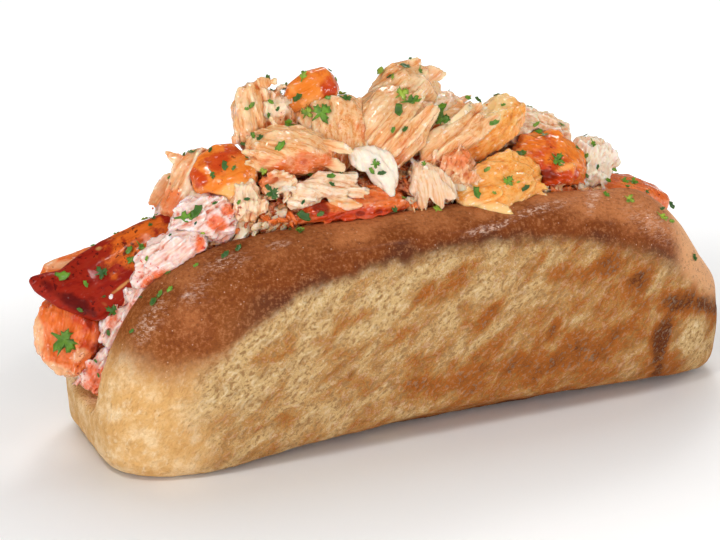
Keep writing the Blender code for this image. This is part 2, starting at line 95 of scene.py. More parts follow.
def rough(places, size, seed=0, layers=3):
    """Unevenness from about -1 to 1 in several layers, each finer and weaker."""
    size = np.array(size, float)
    total = sum(cloud(places, size / 2 ** layer, seed + layer) * 0.5 ** layer
                for layer in range(layers))
    return total / (2 - 0.5 ** (layers - 1))


def step_between(values, low, high):
    """0 below low, 1 above high and smooth between them."""
    share = np.clip((values - low) / (high - low), 0, 1)
    return share * share * (3 - 2 * share)


# --- meshes ----------------------------------------------------------------------
def get_points(mesh):
    places = np.empty(len(mesh.vertices) * 3, np.float32)
    mesh.vertices.foreach_get("co", places)
    return places.reshape(-1, 3).astype(float)


def get_normals(mesh):
    normals = np.empty(len(mesh.vertices) * 3, np.float32)
    mesh.vertex_normals.foreach_get("vector", normals)
    return normals.reshape(-1, 3).astype(float)


def pushed(places, normals, amounts):
    """Points moved out along their normals, by so many millimetres each."""
    return places + normals * (amounts * MM)[:, None]


def set_points(mesh, places):
    mesh.vertices.foreach_set("co", places.astype(np.float32).ravel())
    mesh.update()


def set_mask(mesh, name, values):
    """Store one number for each point, for the material to read."""
    layer = mesh.attributes.get(name) or mesh.attributes.new(name, "FLOAT", "POINT")
    layer.data.foreach_set("value", values.astype(np.float32))


def set_places(mesh, name, places):
    """Store one vector for each point, for the material to read."""
    layer = mesh.attributes.get(name) or mesh.attributes.new(name, "FLOAT_VECTOR", "POINT")
    layer.data.foreach_set("vector", places.astype(np.float32).ravel())


def new_object(name, mesh):
    item = bpy.data.objects.new(name, mesh)
    bpy.context.scene.collection.objects.link(item)
    return item


def baked(item):
    """Turn what an object's modifiers show into its own mesh."""
    evaluated = item.evaluated_get(bpy.context.evaluated_depsgraph_get())
    mesh = bpy.data.meshes.new_from_object(evaluated)
    old = item.data
    item.modifiers.clear()
    item.data = mesh
    bpy.data.meshes.remove(old)
    return item


def relax(item, times, factor=0.5):
    smooth = item.modifiers.new("relax", "SMOOTH")
    smooth.factor = factor
    smooth.iterations = times
    return item


def fuse(item, voxel, times=2):
    """Melt all that an object's mesh holds into one even skin."""
    melt = item.modifiers.new("fuse", "REMESH")
    melt.mode = "VOXEL"
    melt.voxel_size = voxel * MM
    relax(item, times)
    return baked(item)


def relaxed_points(item, times):
    """Where an object's points would be if its skin were relaxed."""
    relax(item, times)
    evaluated = item.evaluated_get(bpy.context.evaluated_depsgraph_get())
    places = get_points(evaluated.data)
    item.modifiers.clear()
    return places


def node_skin(node, name=None):
    """A copy of a node's solid with its points merged."""
    skin = bmesh.new()
    skin.from_mesh(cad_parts[node].data)
    bmesh.ops.remove_doubles(skin, verts=skin.verts[:], dist=0.005 * MM)
    mesh = bpy.data.meshes.new(name or node + "_skin")
    skin.to_mesh(mesh)
    skin.free()
    return mesh


def in_node(node, x, y, z):
    """The point at these shares of a node's box."""
    low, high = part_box(node)
    return Vector([least + (most - least) * share for least, most, share in zip(low, high, (x, y, z))])


# --- the front corner view ---------------------------------------------------------
def seen_at(places):
    """How far right and up points lie in the front corner view, per unit of depth."""
    arm = np.atleast_2d(places) - np.array(CAMERA_PLACE)
    across = np.stack([arm @ np.array(VIEW_RIGHT), arm @ np.array(VIEW_UP)], axis=1)
    return across / (arm @ np.array(CAMERA_AIM))[:, None]


def outline_of(node):
    """The lowest and highest places of a node in the front corner view."""
    if node not in OUTLINES:
        plane = seen_at(get_points(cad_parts[node].data))
        OUTLINES[node] = (plane.min(axis=0), plane.max(axis=0))
    return OUTLINES[node]


def view_spot(node, right, up):
    """A place in the view, from -1 to 1 across and up a node's outline."""
    low, high = outline_of(node)
    return (low + high) / 2 + (high - low) / 2 * np.array((right, up))


def view_way(right, up, near=0.0):
    """The direction with these parts in the front corner view."""
    return VIEW_RIGHT * right + VIEW_UP * up + VIEW_NEAR * near


def view_heading(degrees):
    """The direction in the picture plane that many degrees up from rightward."""
    turn = math.radians(degrees)
    return view_way(math.cos(turn), math.sin(turn))


def spot_in_view(tree, node, right, up):
    """Where a line of sight through a node's outline meets a skin, and the way that spot faces.

    A line that misses the skin stops where it passes nearest to it.
    """
    across, rise = view_spot(node, right, up)
    line = (CAMERA_AIM + VIEW_RIGHT * across + VIEW_UP * rise).normalized()
    spot, facing, _, _ = tree.ray_cast(CAMERA_PLACE, line)
    if spot is None:
        near, facing, _, _ = tree.find_nearest(CAMERA_PLACE + line * VIEW_DISTANCE)
        spot = CAMERA_PLACE + line * (near - CAMERA_PLACE).dot(line)
    return spot, facing


def painted(node, places, spots, ragged=0.3, seed=0):
    """How far soft-edged patches cover each point.

    Each patch is (right, up, half length, half height, lean, strength) in the front
    corner view: its middle in shares of the node's outline, its size in millimetres.
    """
    plane = seen_at(places)
    wander = rough(places, 5.0, 71 + seed, 4) * ragged
    total = np.zeros(len(places))
    for right, up, length, height, lean, strength in spots:
        away = (plane - view_spot(node, right, up)) * VIEW_DISTANCE / MM
        turn = math.radians(lean)
        along = away[:, 0] * math.cos(turn) + away[:, 1] * math.sin(turn)
        across = away[:, 1] * math.cos(turn) - away[:, 0] * math.sin(turn)
        reach = np.hypot(along / length, across / height) + wander
        total = np.maximum(total, strength * (1 - step_between(reach, 0.35, 1.35)))
    return total


# --- handing over to the frame -----------------------------------------------------
def finished(item, nodes, finish):
    """Give a piece its material and smooth shading, attach it to the root body and hide the nodes it
    replaces.
    """
    item.data.materials.clear()
    item.data.materials.append(finish)
    item.data.polygons.foreach_set("use_smooth", [True] * len(item.data.polygons))
    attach(item, "root")
    if nodes:
        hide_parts(*nodes)
    return item


# --- shader building -------------------------------------------------------------
class Value:
    """What a node puts out, ready for sums with numbers and with other values."""

    def __init__(self, socket):
        self.socket = socket
        self.tree = socket.id_data

    def worked(self, operation, first, second):
        return value_of(self.tree, "ShaderNodeMath", {0: first, 1: second}, operation=operation)

    def __add__(self, other):
        return self.worked("ADD", self, other)

    def __sub__(self, other):
        return self.worked("SUBTRACT", self, other)

    def __rsub__(self, other):
        return self.worked("SUBTRACT", other, self)

    def __mul__(self, other):
        return self.worked("MULTIPLY", self, other)

    def __rtruediv__(self, other):
        return self.worked("DIVIDE", other, self)

    def step(self, low, high, to_low=0.0, to_high=1.0):
        """A smooth step of the value between two levels."""
        return value_of(self.tree, "ShaderNodeMapRange", {0: self, 1: low, 2: high, 3: to_low, 4: to_high},
                        interpolation_type="SMOOTHSTEP")


def fill(node, inputs):
    """Fill a node's inputs with constants or with other nodes' values."""
    for name, given in inputs.items():
        if isinstance(given, Value):
            given.tree.links.new(given.socket, node.inputs[name])
        else:
            node.inputs[name].default_value = given


def put(tree, kind, inputs=None, **options):
    """Add a node, set its options and fill its inputs."""
    node = tree.nodes.new(kind)
    for name, option in options.items():
        setattr(node, name, option)
    fill(node, inputs or {})
    return node


def value_of(tree, kind, inputs=None, output=0, **options):
    """What a new node puts out."""
    return Value(put(tree, kind, inputs, **options).outputs[output])


def values_of(node):
    """All that a node puts out, by name."""
    return {socket.name: Value(socket) for socket in node.outputs}


def mix(share, first, second):
    """Mix two colours, given as values or as red, green and blue."""
    first, second = (colour if isinstance(colour, Value) else (*colour, 1.0) for colour in (first, second))
    return value_of(share.tree, "ShaderNodeMix", {0: share, 6: first, 7: second}, 2, data_type="RGBA")


def layered(colour, *layers):
    """Lay colours over a first one, each given as how far it covers and what it is."""
    for share, over in layers:
        colour = mix(share, colour, over)
    return colour


def noise(place, size, detail=3.0, roughness=0.55, distortion=0.0):
    """Noise with lumps of about size millimetres."""
    return value_of(place.tree, "ShaderNodeTexNoise",
                    {"Vector": place, "Scale": 1.0 / (size * MM), "Detail": detail, "Roughness": roughness,
                     "Distortion": distortion}, "Fac")


def speckle(place, size):
    """How far off the nearest of scattered specks is, about size millimetres apart."""
    return value_of(place.tree, "ShaderNodeTexVoronoi", {"Vector": place, "Scale": 1.0 / (size * MM)},
                    "Distance")


def stretched(place, scale, turn=(0.0, 0.0, 0.0)):
    """Places turned into a frame of their own, then scaled along its axes."""
    sizes = tuple(1.0 / max(along, 1e-6) for along in scale)
    return value_of(place.tree, "ShaderNodeMapping", {"Vector": place, "Rotation": turn, "Scale": sizes},
                    vector_type="TEXTURE")


def bump(height, distance, strength=1.0, normal=None):
    """A bump of the given depth in millimetres, over another if there is one."""
    inputs = {"Height": height, "Distance": distance * MM, "Strength": strength}
    if normal:
        inputs["Normal"] = normal
    return value_of(height.tree, "ShaderNodeBump", inputs)


def mask(tree, name, output="Fac"):
    """A number stored for each point, or a vector with output "Vector"."""
    return value_of(tree, "ShaderNodeAttribute", output=output, attribute_name=name)


def masks(tree, names):
    """The numbers stored under each of the names, which spaces part."""
    return [mask(tree, name) for name in names.split()]


def new_group(name, inputs, outputs, kind="ShaderNodeTree"):
    """An empty node group with inputs (name, kind, default) and outputs (name, kind)."""
    tree = bpy.data.node_groups.new(name, kind)
    for label, holds, default in inputs:
        socket = tree.interface.new_socket(label, in_out="INPUT", socket_type="NodeSocket" + holds)
        if default is not None:
            socket.default_value = default
    for label, holds in outputs:
        tree.interface.new_socket(label, in_out="OUTPUT", socket_type="NodeSocket" + holds)
    return tree, values_of(tree.nodes.new("NodeGroupInput")), tree.nodes.new("NodeGroupOutput")


def use_group(tree, group, inputs):
    return values_of(put(tree, "ShaderNodeGroup", inputs, node_tree=group))


def new_material(name):
    """A material, its tree, its shader and the place on the object."""
    made = bpy.data.materials.new(name)
    made.use_nodes = True
    tree = made.node_tree
    return made, tree, tree.nodes["Principled BSDF"], value_of(tree, "ShaderNodeTexCoord", output="Object")


def group_noise(place, scale, detail, output="Fac"):
    """Noise inside a group, whose scale may be one of its inputs."""
    return value_of(place.tree, "ShaderNodeTexNoise", {"Vector": place, "Scale": scale, "Detail": detail},
                    output)


def of_vectors(operation, first, second):
    return value_of(first.tree, "ShaderNodeVectorMath", {0: first, 1: second}, operation=operation)


def fibre_group():
    """Long fine fibres along the first axis of a place, as a tone and a height."""
    tree, given, out = new_group(
        "fibres", (("Place", "Vector", None), ("Length", "Float", 6.0), ("Width", "Float", 0.5)),
        (("Tone", "Float"), ("Height", "Float")))
    wander = of_vectors("MULTIPLY", group_noise(given["Place"], 300.0, 1.0, "Color"), (0.8 * MM,) * 3)
    along, across = 1.0 / MM / given["Length"], 1.0 / MM / given["Width"]
    scale = value_of(tree, "ShaderNodeCombineXYZ", {0: along, 1: across, 2: across})
    place = of_vectors("MULTIPLY", of_vectors("ADD", given["Place"], wander), scale)
    both = group_noise(place, 0.45, 2.0) * 0.6 + group_noise(place, 1.3, 2.0) * 0.4
    fill(out, {"Tone": both.step(0.36, 0.64), "Height": both})
    return tree


def butter_group():
    """Small beads and films of butter: how wet each spot is, and its height."""
    tree, given, out = new_group("butter", (("Place", "Vector", None), ("Size", "Float", 1.4)),
                                 (("Wet", "Float"), ("Height", "Float")))
    scale = 1.0 / MM / given["Size"]
    film = group_noise(given["Place"], scale, 3.0)
    beads = value_of(tree, "ShaderNodeTexVoronoi", {"Vector": given["Place"], "Scale": scale}, "Distance",
                     feature="SMOOTH_F1")
    fill(out, {"Wet": film.step(0.35, 0.6), "Height": film * 0.7 + beads.step(0.5, 0.1) * 0.5})
    return tree


def speck_group():
    """Scattered small specks, as a mask."""
    tree, given, out = new_group(
        "specks", (("Place", "Vector", None), ("Size", "Float", 0.8), ("Amount", "Float", 0.2)),
        (("Mask", "Float"),))
    spots = group_noise(given["Place"], 1.0 / MM / given["Size"], 2.0)
    level = spots + group_noise(given["Place"], 160.0, 1.0) * 0.5
    fill(out, {"Mask": (level - (1.13 - given["Amount"] * 0.5)).step(-0.02, 0.05)})
    return tree


FIBRES = fibre_group()
BUTTER = butter_group()
SPECKS = speck_group()
FIBRE_LENGTH = 7.0
BUTTER_SIZE = 1.3
SPECK_SIZE = 0.9
# colour of the glints painted into the meat's colour
GLINT = (1.0, 0.93, 0.84)
WET_COAT = 0.3


def flesh_finish(name, flesh, pale, painted_shade, blush, speck_and_shade, crest_highlight, specks, streaks, fibre_width, roughness,
                 coat, glow, fibre_depth, film_depth):
    """Moist cooked meat: pale on its crests as painted highlight, dark in its furrows and hollows as
    painted shade, blushing in patches.
    """
    made, tree, shader, place = new_material(name)
    grain = mask(tree, "grain", "Vector")
    fibres = use_group(tree, FIBRES, {"Place": grain, "Length": FIBRE_LENGTH, "Width": fibre_width})
    butter = use_group(tree, BUTTER, {"Place": place, "Size": BUTTER_SIZE})
    dots = use_group(tree, SPECKS, {"Place": place, "Size": SPECK_SIZE, "Amount": specks})
    crest, blushed, paled, reddened, darkened = masks(tree, "crest blush pale red dark")
    patches = noise(place, 4.5, 4.0, 0.65)
    uneven = patches - 0.5
    crest = crest + uneven * 0.5 + paled * 0.30
    ruddy = blushed + uneven * 1.2 + reddened * patches.step(0.25, 0.7, 0.45, 1.1) - paled * 0.7
    ruddy = ruddy.step(0.35, 1.1)
    streaked = fibres["Tone"] * (ruddy.step(0, 1, 1, 0.4) * streaks)
    # painted shade: the grooves between fibres darkened, less so on pale patches
    groove_shade = fibres["Tone"].step(0.35, 0.0) * paled.step(0.0, 1.0, 0.28, 0.05)
    # painted glints: short pale dots along the fibres on the crests, stronger on coated meat
    shine = noise(stretched(grain, (0.35, 1.0, 1.0)), 0.6, 2.0).step(0.60, 0.68)
    shine = shine * crest.step(0.42, 0.75) * (0.65 * coat)
    colour = layered(
        flesh,
        # painted highlight: raised crests turned pale
        (crest.step(0.50, 0.95, 0.0, crest_highlight), pale),
        (ruddy, blush),
        (streaked, pale),
        (paled.step(0.1, 1.0, 0.0, 0.85), pale),
        # painted shade in the grooves between fibres
        (groove_shade, painted_shade),
        # painted shade in hollows, where the skin lies below its surroundings
        (crest.step(0.46, 0.10, 0.0, 0.9), painted_shade),
        (shine, GLINT),
        (dots["Mask"] * 0.8, speck_and_shade),
        # dark patches in the speck colour: dark marks, and on the claw painted shade on its underside
        ((darkened + uneven * 0.6).step(0.3, 0.9) * 0.9, speck_and_shade))
    fill(shader, {
        "Base Color": colour,
        "Roughness": butter["Wet"] * -0.16 + roughness,
        "Coat Weight": butter["Wet"].step(0.0, 1.0, 0.35, 1.0) * coat,
        "Coat Roughness": 0.07,
        "Subsurface Weight": glow,
        "Subsurface Radius": (1.0, 0.40, 0.18),
        "Subsurface Scale": 1.5 * MM,
        "IOR": 1.42,
        "Specular IOR Level": 0.35 if coat > WET_COAT else 0.12,
        "Normal": bump(butter["Height"], film_depth, 1.0, bump(fibres["Height"], fibre_depth)),
    })
    return made


# Every sort of meat: its material; its flesh and pale colours, the pale one also the painted highlight on
# its crests; its painted shade colour for furrows and hollows; its blush colour;
# its speck colour, also the painted shade on the claw's underside; how pale the crests are painted as
# highlight, specks, streaks, fibre width, roughness, coat, glow, fibre depth and film depth.
LOBSTER = {
    "crimson": ("claw_crimson", (0.30, 0.012, 0.004), (0.70, 0.36, 0.11), (0.12, 0.004, 0.004),
                (0.66, 0.125, 0.012), (0.070, 0.003, 0.003),
                0.0, 0.44, 0.02, 0.7, 0.55, 0.12, 0.05, 0.05, 0.12),
    "orange": ("claw_orange", (0.76, 0.135, 0.010), (0.86, 0.48, 0.25), (0.42, 0.03, 0.004),
               (0.58, 0.045, 0.004), (0.26, 0.015, 0.003),
               0.5, 0.30, 0.15, 0.6, 0.30, 0.6, 0.20, 0.15, 0.10),
    "amber": ("claw_amber", (0.84, 0.20, 0.012), (0.94, 0.52, 0.17), (0.50, 0.05, 0.004),
              (0.60, 0.050, 0.003), (0.22, 0.015, 0.003),
              0.4, 0.32, 0.12, 0.7, 0.24, 0.7, 0.25, 0.10, 0.10),
    "knuckle": ("knuckle_meat", (0.86, 0.58, 0.48), (0.94, 0.86, 0.86), (0.72, 0.15, 0.06),
                (0.84, 0.15, 0.025), (0.64, 0.025, 0.010),
                0.9, 0.36, 0.35, 0.5, 0.30, 0.7, 0.45, 0.14, 0.20),
    "white": ("white_meat", (0.83, 0.52, 0.29), (0.92, 0.82, 0.69), (0.66, 0.20, 0.05),
              (0.86, 0.34, 0.09), (0.55, 0.09, 0.02),
              0.9, 0.12, 0.45, 0.35, 0.28, 0.8, 0.45, 0.20, 0.20),
    "pale": ("flaked_meat", (0.77, 0.34, 0.12), (0.91, 0.71, 0.50), (0.54, 0.08, 0.010),
             (0.78, 0.18, 0.030), (0.36, 0.025, 0.006),
             0.9, 0.34, 0.35, 0.5, 0.32, 0.7, 0.40, 0.18, 0.20),
    "meat": ("tail_meat", (0.77, 0.33, 0.095), (0.92, 0.68, 0.42), (0.62, 0.12, 0.010),
             (0.70, 0.13, 0.010), (0.40, 0.03, 0.006),
             0.80, 0.22, 0.55, 0.30, 0.26, 0.9, 0.45, 0.24, 0.20),
    "gold": ("golden_meat", (0.90, 0.34, 0.040), (0.95, 0.62, 0.27), (0.70, 0.13, 0.006),
             (0.84, 0.17, 0.010), (0.46, 0.04, 0.006),
             0.7, 0.12, 0.40, 0.40, 0.22, 0.9, 0.45, 0.20, 0.22),
    "rust": ("rusty_meat", (0.52, 0.085, 0.018), (0.78, 0.38, 0.18), (0.14, 0.012, 0.004),
             (0.36, 0.022, 0.006), (0.15, 0.010, 0.005),
             0.8, 0.4, 0.25, 0.6, 0.32, 0.6, 0.2, 0.3, 0.16),
}


# --- the bun ---------------------------------------------------------------------
BUN_VOXEL = 0.67
BUN_GROW = 0.25
SHOULDER_RISE = 2.4
# Along the bun and up it: where the griddled face meets the crust.
GRIDDLE_EDGE = ((-76, 28), (-71, 27), (-65, 24.0), (-58, 25.5), (-52, 28.5), (-46, 33.5), (-36, 38.9),
                (-24, 41.0), (-12, 42.3), (0, 42.5), (11, 43.0), (27, 42.4), (37, 40.4), (50, 35.4),
                (62, 27.8), (72, 20))
STREAK_TILT = math.radians(-36)
SCORCH_RAGGED, CRUMB_RAGGED, BUTTER_SHEEN_RAGGED = 0.9, 0.4, 0.25
# Patches of the griddled face, as painted() takes them.
SCORCHES = ((0.86, 0.13, 6.5, 3.2, 16, 1.2), (0.98, 0.10, 4.5, 2.4, -10, 1.1),
            (0.76, 0.24, 3.6, 2.8, 0, 0.8), (0.66, 0.35, 6.0, 2.2, 10, 0.55),
            (0.83, -0.12, 2.3, 8.0, -10, 1.05), (0.50, -0.05, 1.2, 4.6, -24, 0.8),
            (0.55, 0.30, 8.0, 2.0, 4, 0.55), (0.55, -0.22, 14.0, 3.6, 20, 0.7),
            (0.20, -0.38, 16.0, 3.0, 16, 0.6), (0.15, 0.20, 9.0, 2.8, 34, 0.45),
            (-0.10, 0.02, 9.0, 1.6, 32, 0.45), (-0.25, -0.15, 8.0, 1.8, 28, 0.4),
            (0.30, 0.02, 5.0, 1.6, 48, 0.5), (0.42, -0.52, 12.0, 1.6, 12, 0.9),
            (0.68, -0.10, 3.0, 1.6, 24, 0.6))
PALE_CRUMB = ((0.93, -0.15, 5.0, 7.5, 0, 1.0), (0.81, 0.15, 2.4, 4.0, -16, 0.55),
              (0.40, 0.15, 6.0, 3.0, 16, 0.35), (-0.20, 0.20, 12.0, 3.0, 26, 0.30),
              (-0.52, -0.45, 12.0, 9.0, 20, 0.35))
# Buttered patches of the crust, as painted() takes them: more coat there, and a painted sheen with painted
# sparkles, including painted highlight streaks along the rim.
BUTTER_AND_SHEEN = ((-0.74, 0.00, 7.0, 2.4, 60, 0.7), (-0.60, 0.20, 6.0, 2.6, 50, 0.4),
           (-0.51, 0.37, 6.0, 1.8, 18, 0.6), (0.30, 0.59, 6.0, 1.1, 17, 1.0),
           (0.46, 0.71, 7.5, 1.1, 16, 1.0), (0.80, 0.62, 8.0, 3.4, -32, 0.45),
           (0.62, 0.80, 1.6, 4.6, -14, 0.9), (-0.52, 0.36, 3.0, 1.6, 10, 1.0),
           (-0.35, 0.48, 3.4, 1.0, 15, 0.8))


def griddle_edge(x):
    """Height in millimetres at which the griddled face meets the crust."""
    return np.interp(x, *zip(*GRIDDLE_EDGE))


def bun_masks(places, normals):
    """What each point of the bun is: crust, griddled face, torn crumb, heel or scorch."""
    x, y, z = (places / MM).T
    above = z - griddle_edge(x) + rough(places, 16.0, 3) * 1.3 + rough(places, 2.5, 5) * 1.1
    spread = 1.9 + 4.2 * step_between(-x, 46.0, 64.0) + 1.6 * step_between(x, 36.0, 50.0)
    crust = step_between(above, -spread, spread)
    inner = step_between(13.0 - np.abs(y), -0.6, 0.2) * step_between(z, 11.0, 13.5)
    inner *= step_between(np.abs(normals[:, 1]), 0.45, 0.8) * step_between(47.0 - z, 0.0, 3.0)
    return {
        "crust": crust, "inner": inner,
        "rise": np.clip(above / 11.5, 0, 1),
        "left_end": step_between(-x + rough(places, 7.0, 7) * 5.0, 50.0, 66.0),
        "right_end": step_between(x, 54.0, 66.0),
        "heel": step_between(-z, -2.2, -0.7) * step_between(x, -60.0, -20.0),
        "scorch": painted("bun", places, SCORCHES, SCORCH_RAGGED),
        "crumb": painted("bun", places, PALE_CRUMB, CRUMB_RAGGED),
        # buttered patches, which also carry the painted sheen and sparkles
        "butter": painted("bun", places, BUTTER_AND_SHEEN, BUTTER_SHEEN_RAGGED),
    }


def streaked(places):
    """Places turned so that the first axis runs along the griddled face's streaks."""
    x, y, z = places.T
    run = x * math.cos(STREAK_TILT) - z * math.sin(STREAK_TILT)
    climb = x * math.sin(STREAK_TILT) + z * math.cos(STREAK_TILT)
    return np.stack([run, y, climb], axis=1)


def bun_finish():
    """Glossy brown crust over a griddled, open-crumbed face."""
    made, tree, shader, place = new_material("bun_crust")
    split = values_of(put(tree, "ShaderNodeSeparateXYZ", {0: place}))
    crust, inner, rise, left_end, right_end = masks(tree, "crust inner rise left_end right_end")
    heel, pit, scorch, crumby, butter_and_sheen = masks(tree, "heel pit scorch crumb butter")

    # crust: dull brown at its lower edge, paler towards the rim, partly its own colour and partly painted
    # light from above
    fine = noise(place, 0.9, 4.0, 0.75)
    tone = rise * split["X"].step(-62 * MM, 5 * MM, 0.38, 1.15) + (noise(place, 13.0, 4.0) - 0.5) * 1.1
    ruddy_end = split["X"].step(-38 * MM, -58 * MM, 0.0, 0.75) * tone.step(0.5, 0.1)
    # painted sheen: whitish streaks standing in for reflections on the buttered patches
    painted_sheen = noise(stretched(place, (0.55, 1.0, 1.8)), 0.9, 4.0, 0.75).step(0.48, 0.60) * butter_and_sheen
    # pale dots: specks on the crust, and painted sparkles, more on the buttered patches
    specks_and_sparkle = speckle(place, 1.2).step(0.17, 0.07) * noise(place, 2.6, 2.0).step(0.50, 0.62)
    specks_and_sparkle = specks_and_sparkle * butter_and_sheen.step(0.0, 1.0, 0.55, 1.0)
    brown = layered(
        (0.112, 0.029, 0.010),
        (tone.step(0.04, 0.34), (0.215, 0.050, 0.008)),
        (tone.step(0.36, 0.80), (0.50, 0.170, 0.055)),
        (ruddy_end, (0.33, 0.100, 0.020)),
        # painted highlight: the right end of the crust turned paler
        (right_end.step(0.1, 1.0, 0.0, 0.85), (0.82, 0.43, 0.20)),
        (fine.step(0.50, 0.62, 0.0, 0.30), (0.62, 0.27, 0.11)),
        (fine.step(0.48, 0.36, 0.0, 0.45), (0.11, 0.026, 0.009)),
        (painted_sheen * 0.62, (0.86, 0.60, 0.46)),
        (specks_and_sparkle * 0.8, (0.92, 0.72, 0.55)))

    # griddled face: pale open crumb with slanting toasted streaks
    tilt = (0.0, STREAK_TILT, 0.0)
    streak = noise(stretched(place, (0.42, 1.0, 1.0), tilt), 5.0, 6.0, 0.68, 0.5)
    pores = speckle(stretched(place, (0.65, 1.0, 1.0), tilt), 1.15)
    crumb = noise(stretched(place, (0.6, 1.0, 1.0), tilt), 0.75, 3.0, 0.62) + (0.42 - pores) * 0.10
    heat = ((streak - 0.5) * 3.4 + split["X"].step(-58 * MM, 60 * MM) * 0.50
            + split["Z"].step(40 * MM, 2 * MM) * 0.36 + scorch * 1.05 - crumby * 0.9 + (crumb - 0.5) * 3.0)
    face = layered(
        (0.70, 0.46, 0.205),
        (heat.step(-0.10, 0.42), (0.52, 0.25, 0.070)),
        (heat.step(0.40, 0.84), (0.43, 0.125, 0.020)),
        (heat.step(1.0, 2.0), (0.125, 0.029, 0.009)),
        # painted shade and highlight: the crumb darker in its hollows and paler on its raised bits, and
        # darker still in its pits
        (crumb.step(0.47, 0.36) * 0.62, (0.25, 0.085, 0.020)),
        (crumb.step(0.52, 0.60) * heat.step(1.2, 0.2, 0.16, 0.62), (0.90, 0.72, 0.45)),
        (pit * 0.28, (0.30, 0.11, 0.03)))

    # rounded end: golden, wrinkled skin
    mottle = noise(place, 7.0, 6.0, 0.72)
    wrinkle = noise(stretched(place, (1.0, 1.0, 0.5), (0.0, 0.5, 0.0)), 1.8, 4.0, 0.7)
    golden = layered(
        (0.92, 0.66, 0.37),
        (mottle.step(0.36, 0.56), (0.76, 0.43, 0.16)),
        (mottle.step(0.56, 0.70, 0.0, 0.55), (0.60, 0.28, 0.08)),
        (wrinkle.step(0.46, 0.32, 0.0, 0.30), (0.52, 0.24, 0.070)),
        (wrinkle.step(0.54, 0.68, 0.0, 0.45), (0.96, 0.78, 0.52)),
        (crumb.step(0.46, 0.34) * 0.14, (0.50, 0.22, 0.06)))
    walls = mix(crumb.step(0.4, 0.6), (0.62, 0.38, 0.24), (0.88, 0.70, 0.52))

    gloss = crust * (1.0 - inner)
    bare = 1.0 - crust
    open_crumb = bare * (crumb * left_end.step(0, 1, 1.0, 0.5))
    relief = bump(wrinkle * left_end * bare, 0.9, 0.8, bump(open_crumb, 1.5))
    fill(shader, {
        "Base Color": layered(face, (left_end, golden), (crust, brown), (inner, walls),
                              (heel * 0.85, (0.16, 0.045, 0.013))),
        "Roughness": gloss.step(0.0, 1.0, 0.80, 0.50),
        "Coat Weight": gloss * butter_and_sheen.step(0.0, 1.0, 0.05, 0.55),
        "Coat Roughness": 0.16,
        "Specular IOR Level": 0.12,
        "Normal": bump(crust * fine, 0.40, 0.9, relief),
    })
    return made


def make_bun():
    item = new_object("bun_baked", node_skin("bun"))
    fuse(item, BUN_VOXEL, 16)
    for _ in range(5):
        relax(item, 4, -0.5)
        relax(item, 8)
    baked(item)
    mesh = item.data
    places, normals = get_points(mesh), get_normals(mesh)
    places += normals * BUN_GROW * MM
    x, _, z = (places / MM).T
    shoulder = step_between(x, 42.0, 57.0) * step_between(-x, -76.0, -62.0) * step_between(z, 22.0, 41.0)
    places[:, 2] += shoulder * SHOULDER_RISE * MM
    marks = bun_masks(places, normals)
    crust, inner, left_end = marks["crust"], marks["inner"], marks["left_end"]
    face = (1 - crust) * (1 - left_end * 0.75) * (1 - inner)
    crumb = rough(streaked(places), (2.6, 1.5, 1.3), 11, 2)
    holes = step_between(crumb, 0.15, 0.6)
    crumbs = rough(places, 5.0, 17, 2) * 0.28 + crumb * 0.12 - holes * 0.45
    places = pushed(places, normals, face * crumbs)
    places = pushed(places, normals, crust * rough(places, 9.0, 23, 3) * 0.30)
    places = pushed(places, normals, left_end * (1 - crust) * rough(places, (5, 5, 2.5), 27, 2) * 0.22)
    places = pushed(places, normals, inner * rough(places, 2.6, 29, 2) * 0.6)
    places[:, 2] = np.maximum(places[:, 2], 0)
    set_points(mesh, places)
    for name, values in marks.items():
        set_mask(mesh, name, values)
    # pits, which the face's colour darkens as painted shade
    set_mask(mesh, "pit", holes * face)
    return finished(item, ["bun"], bun_finish())


# --- the meat --------------------------------------------------------------------
class Cut:
    """How one piece of lobster looks.

    grain is the run of its fibres as (right, up, near) in the front corner view, and
    fan, if given, is the spot in its box that they spread from. layers is the (width,
    height) of the flakes that overlap across the grain, furrows the (width, depth) of
    the fibre ridges, lumps the (width, height) of its unevenness and froth the height of
    its frills. bundles are rows of (how many, length, width, thickness) of fibre bundles
    on its skin. voxel is how finely it is fused, relaxing how often it is smoothed and
    grow how far it swells. blush is (right, up, near, bias): where its redder colour
    gathers. pale, red and dark are patches as painted() takes them.
    """

    def __init__(self, node, finish, grain=(1, 0.4, 0), fan=None, layers=(3.2, 0.5), furrows=(1.2, 0.22),
                 lumps=(4.0, 0.4), froth=0.0, bundles=(), voxel=0.26, relaxing=6, grow=0.0,
                 blush=(0, -0.6, 0, 0.35), pale=(), red=(), dark=()):
        self.node = node
        self.finish = finish
        self.grain = view_way(*grain).normalized()
        self.fan = fan
        self.layers = layers
        self.furrows = furrows
        self.lumps = lumps
        self.froth = froth
        self.bundles = bundles
        self.voxel = voxel
        self.relaxing = relaxing
        self.grow = grow
        self.blush = blush
        self.patches = {"pale": pale, "red": red, "dark": dark}


TIPS = ((10, 6.5, 1.5, 0.7), (8, 2.4, 0.9, 0.7))
SHORT = ((20, 4.6, 1.6, 1.0), (26, 2.4, 1.0, 0.8))
CRUMBS = ((40, 2.6, 1.7, 1.4), (50, 1.4, 1.0, 0.9))
ROUGH = ((14, 8.0, 3.2, 1.3), (16, 3.4, 1.6, 1.1))
FROTH = ((26, 4.2, 1.5, 1.1), (40, 2.0, 1.0, 0.9))

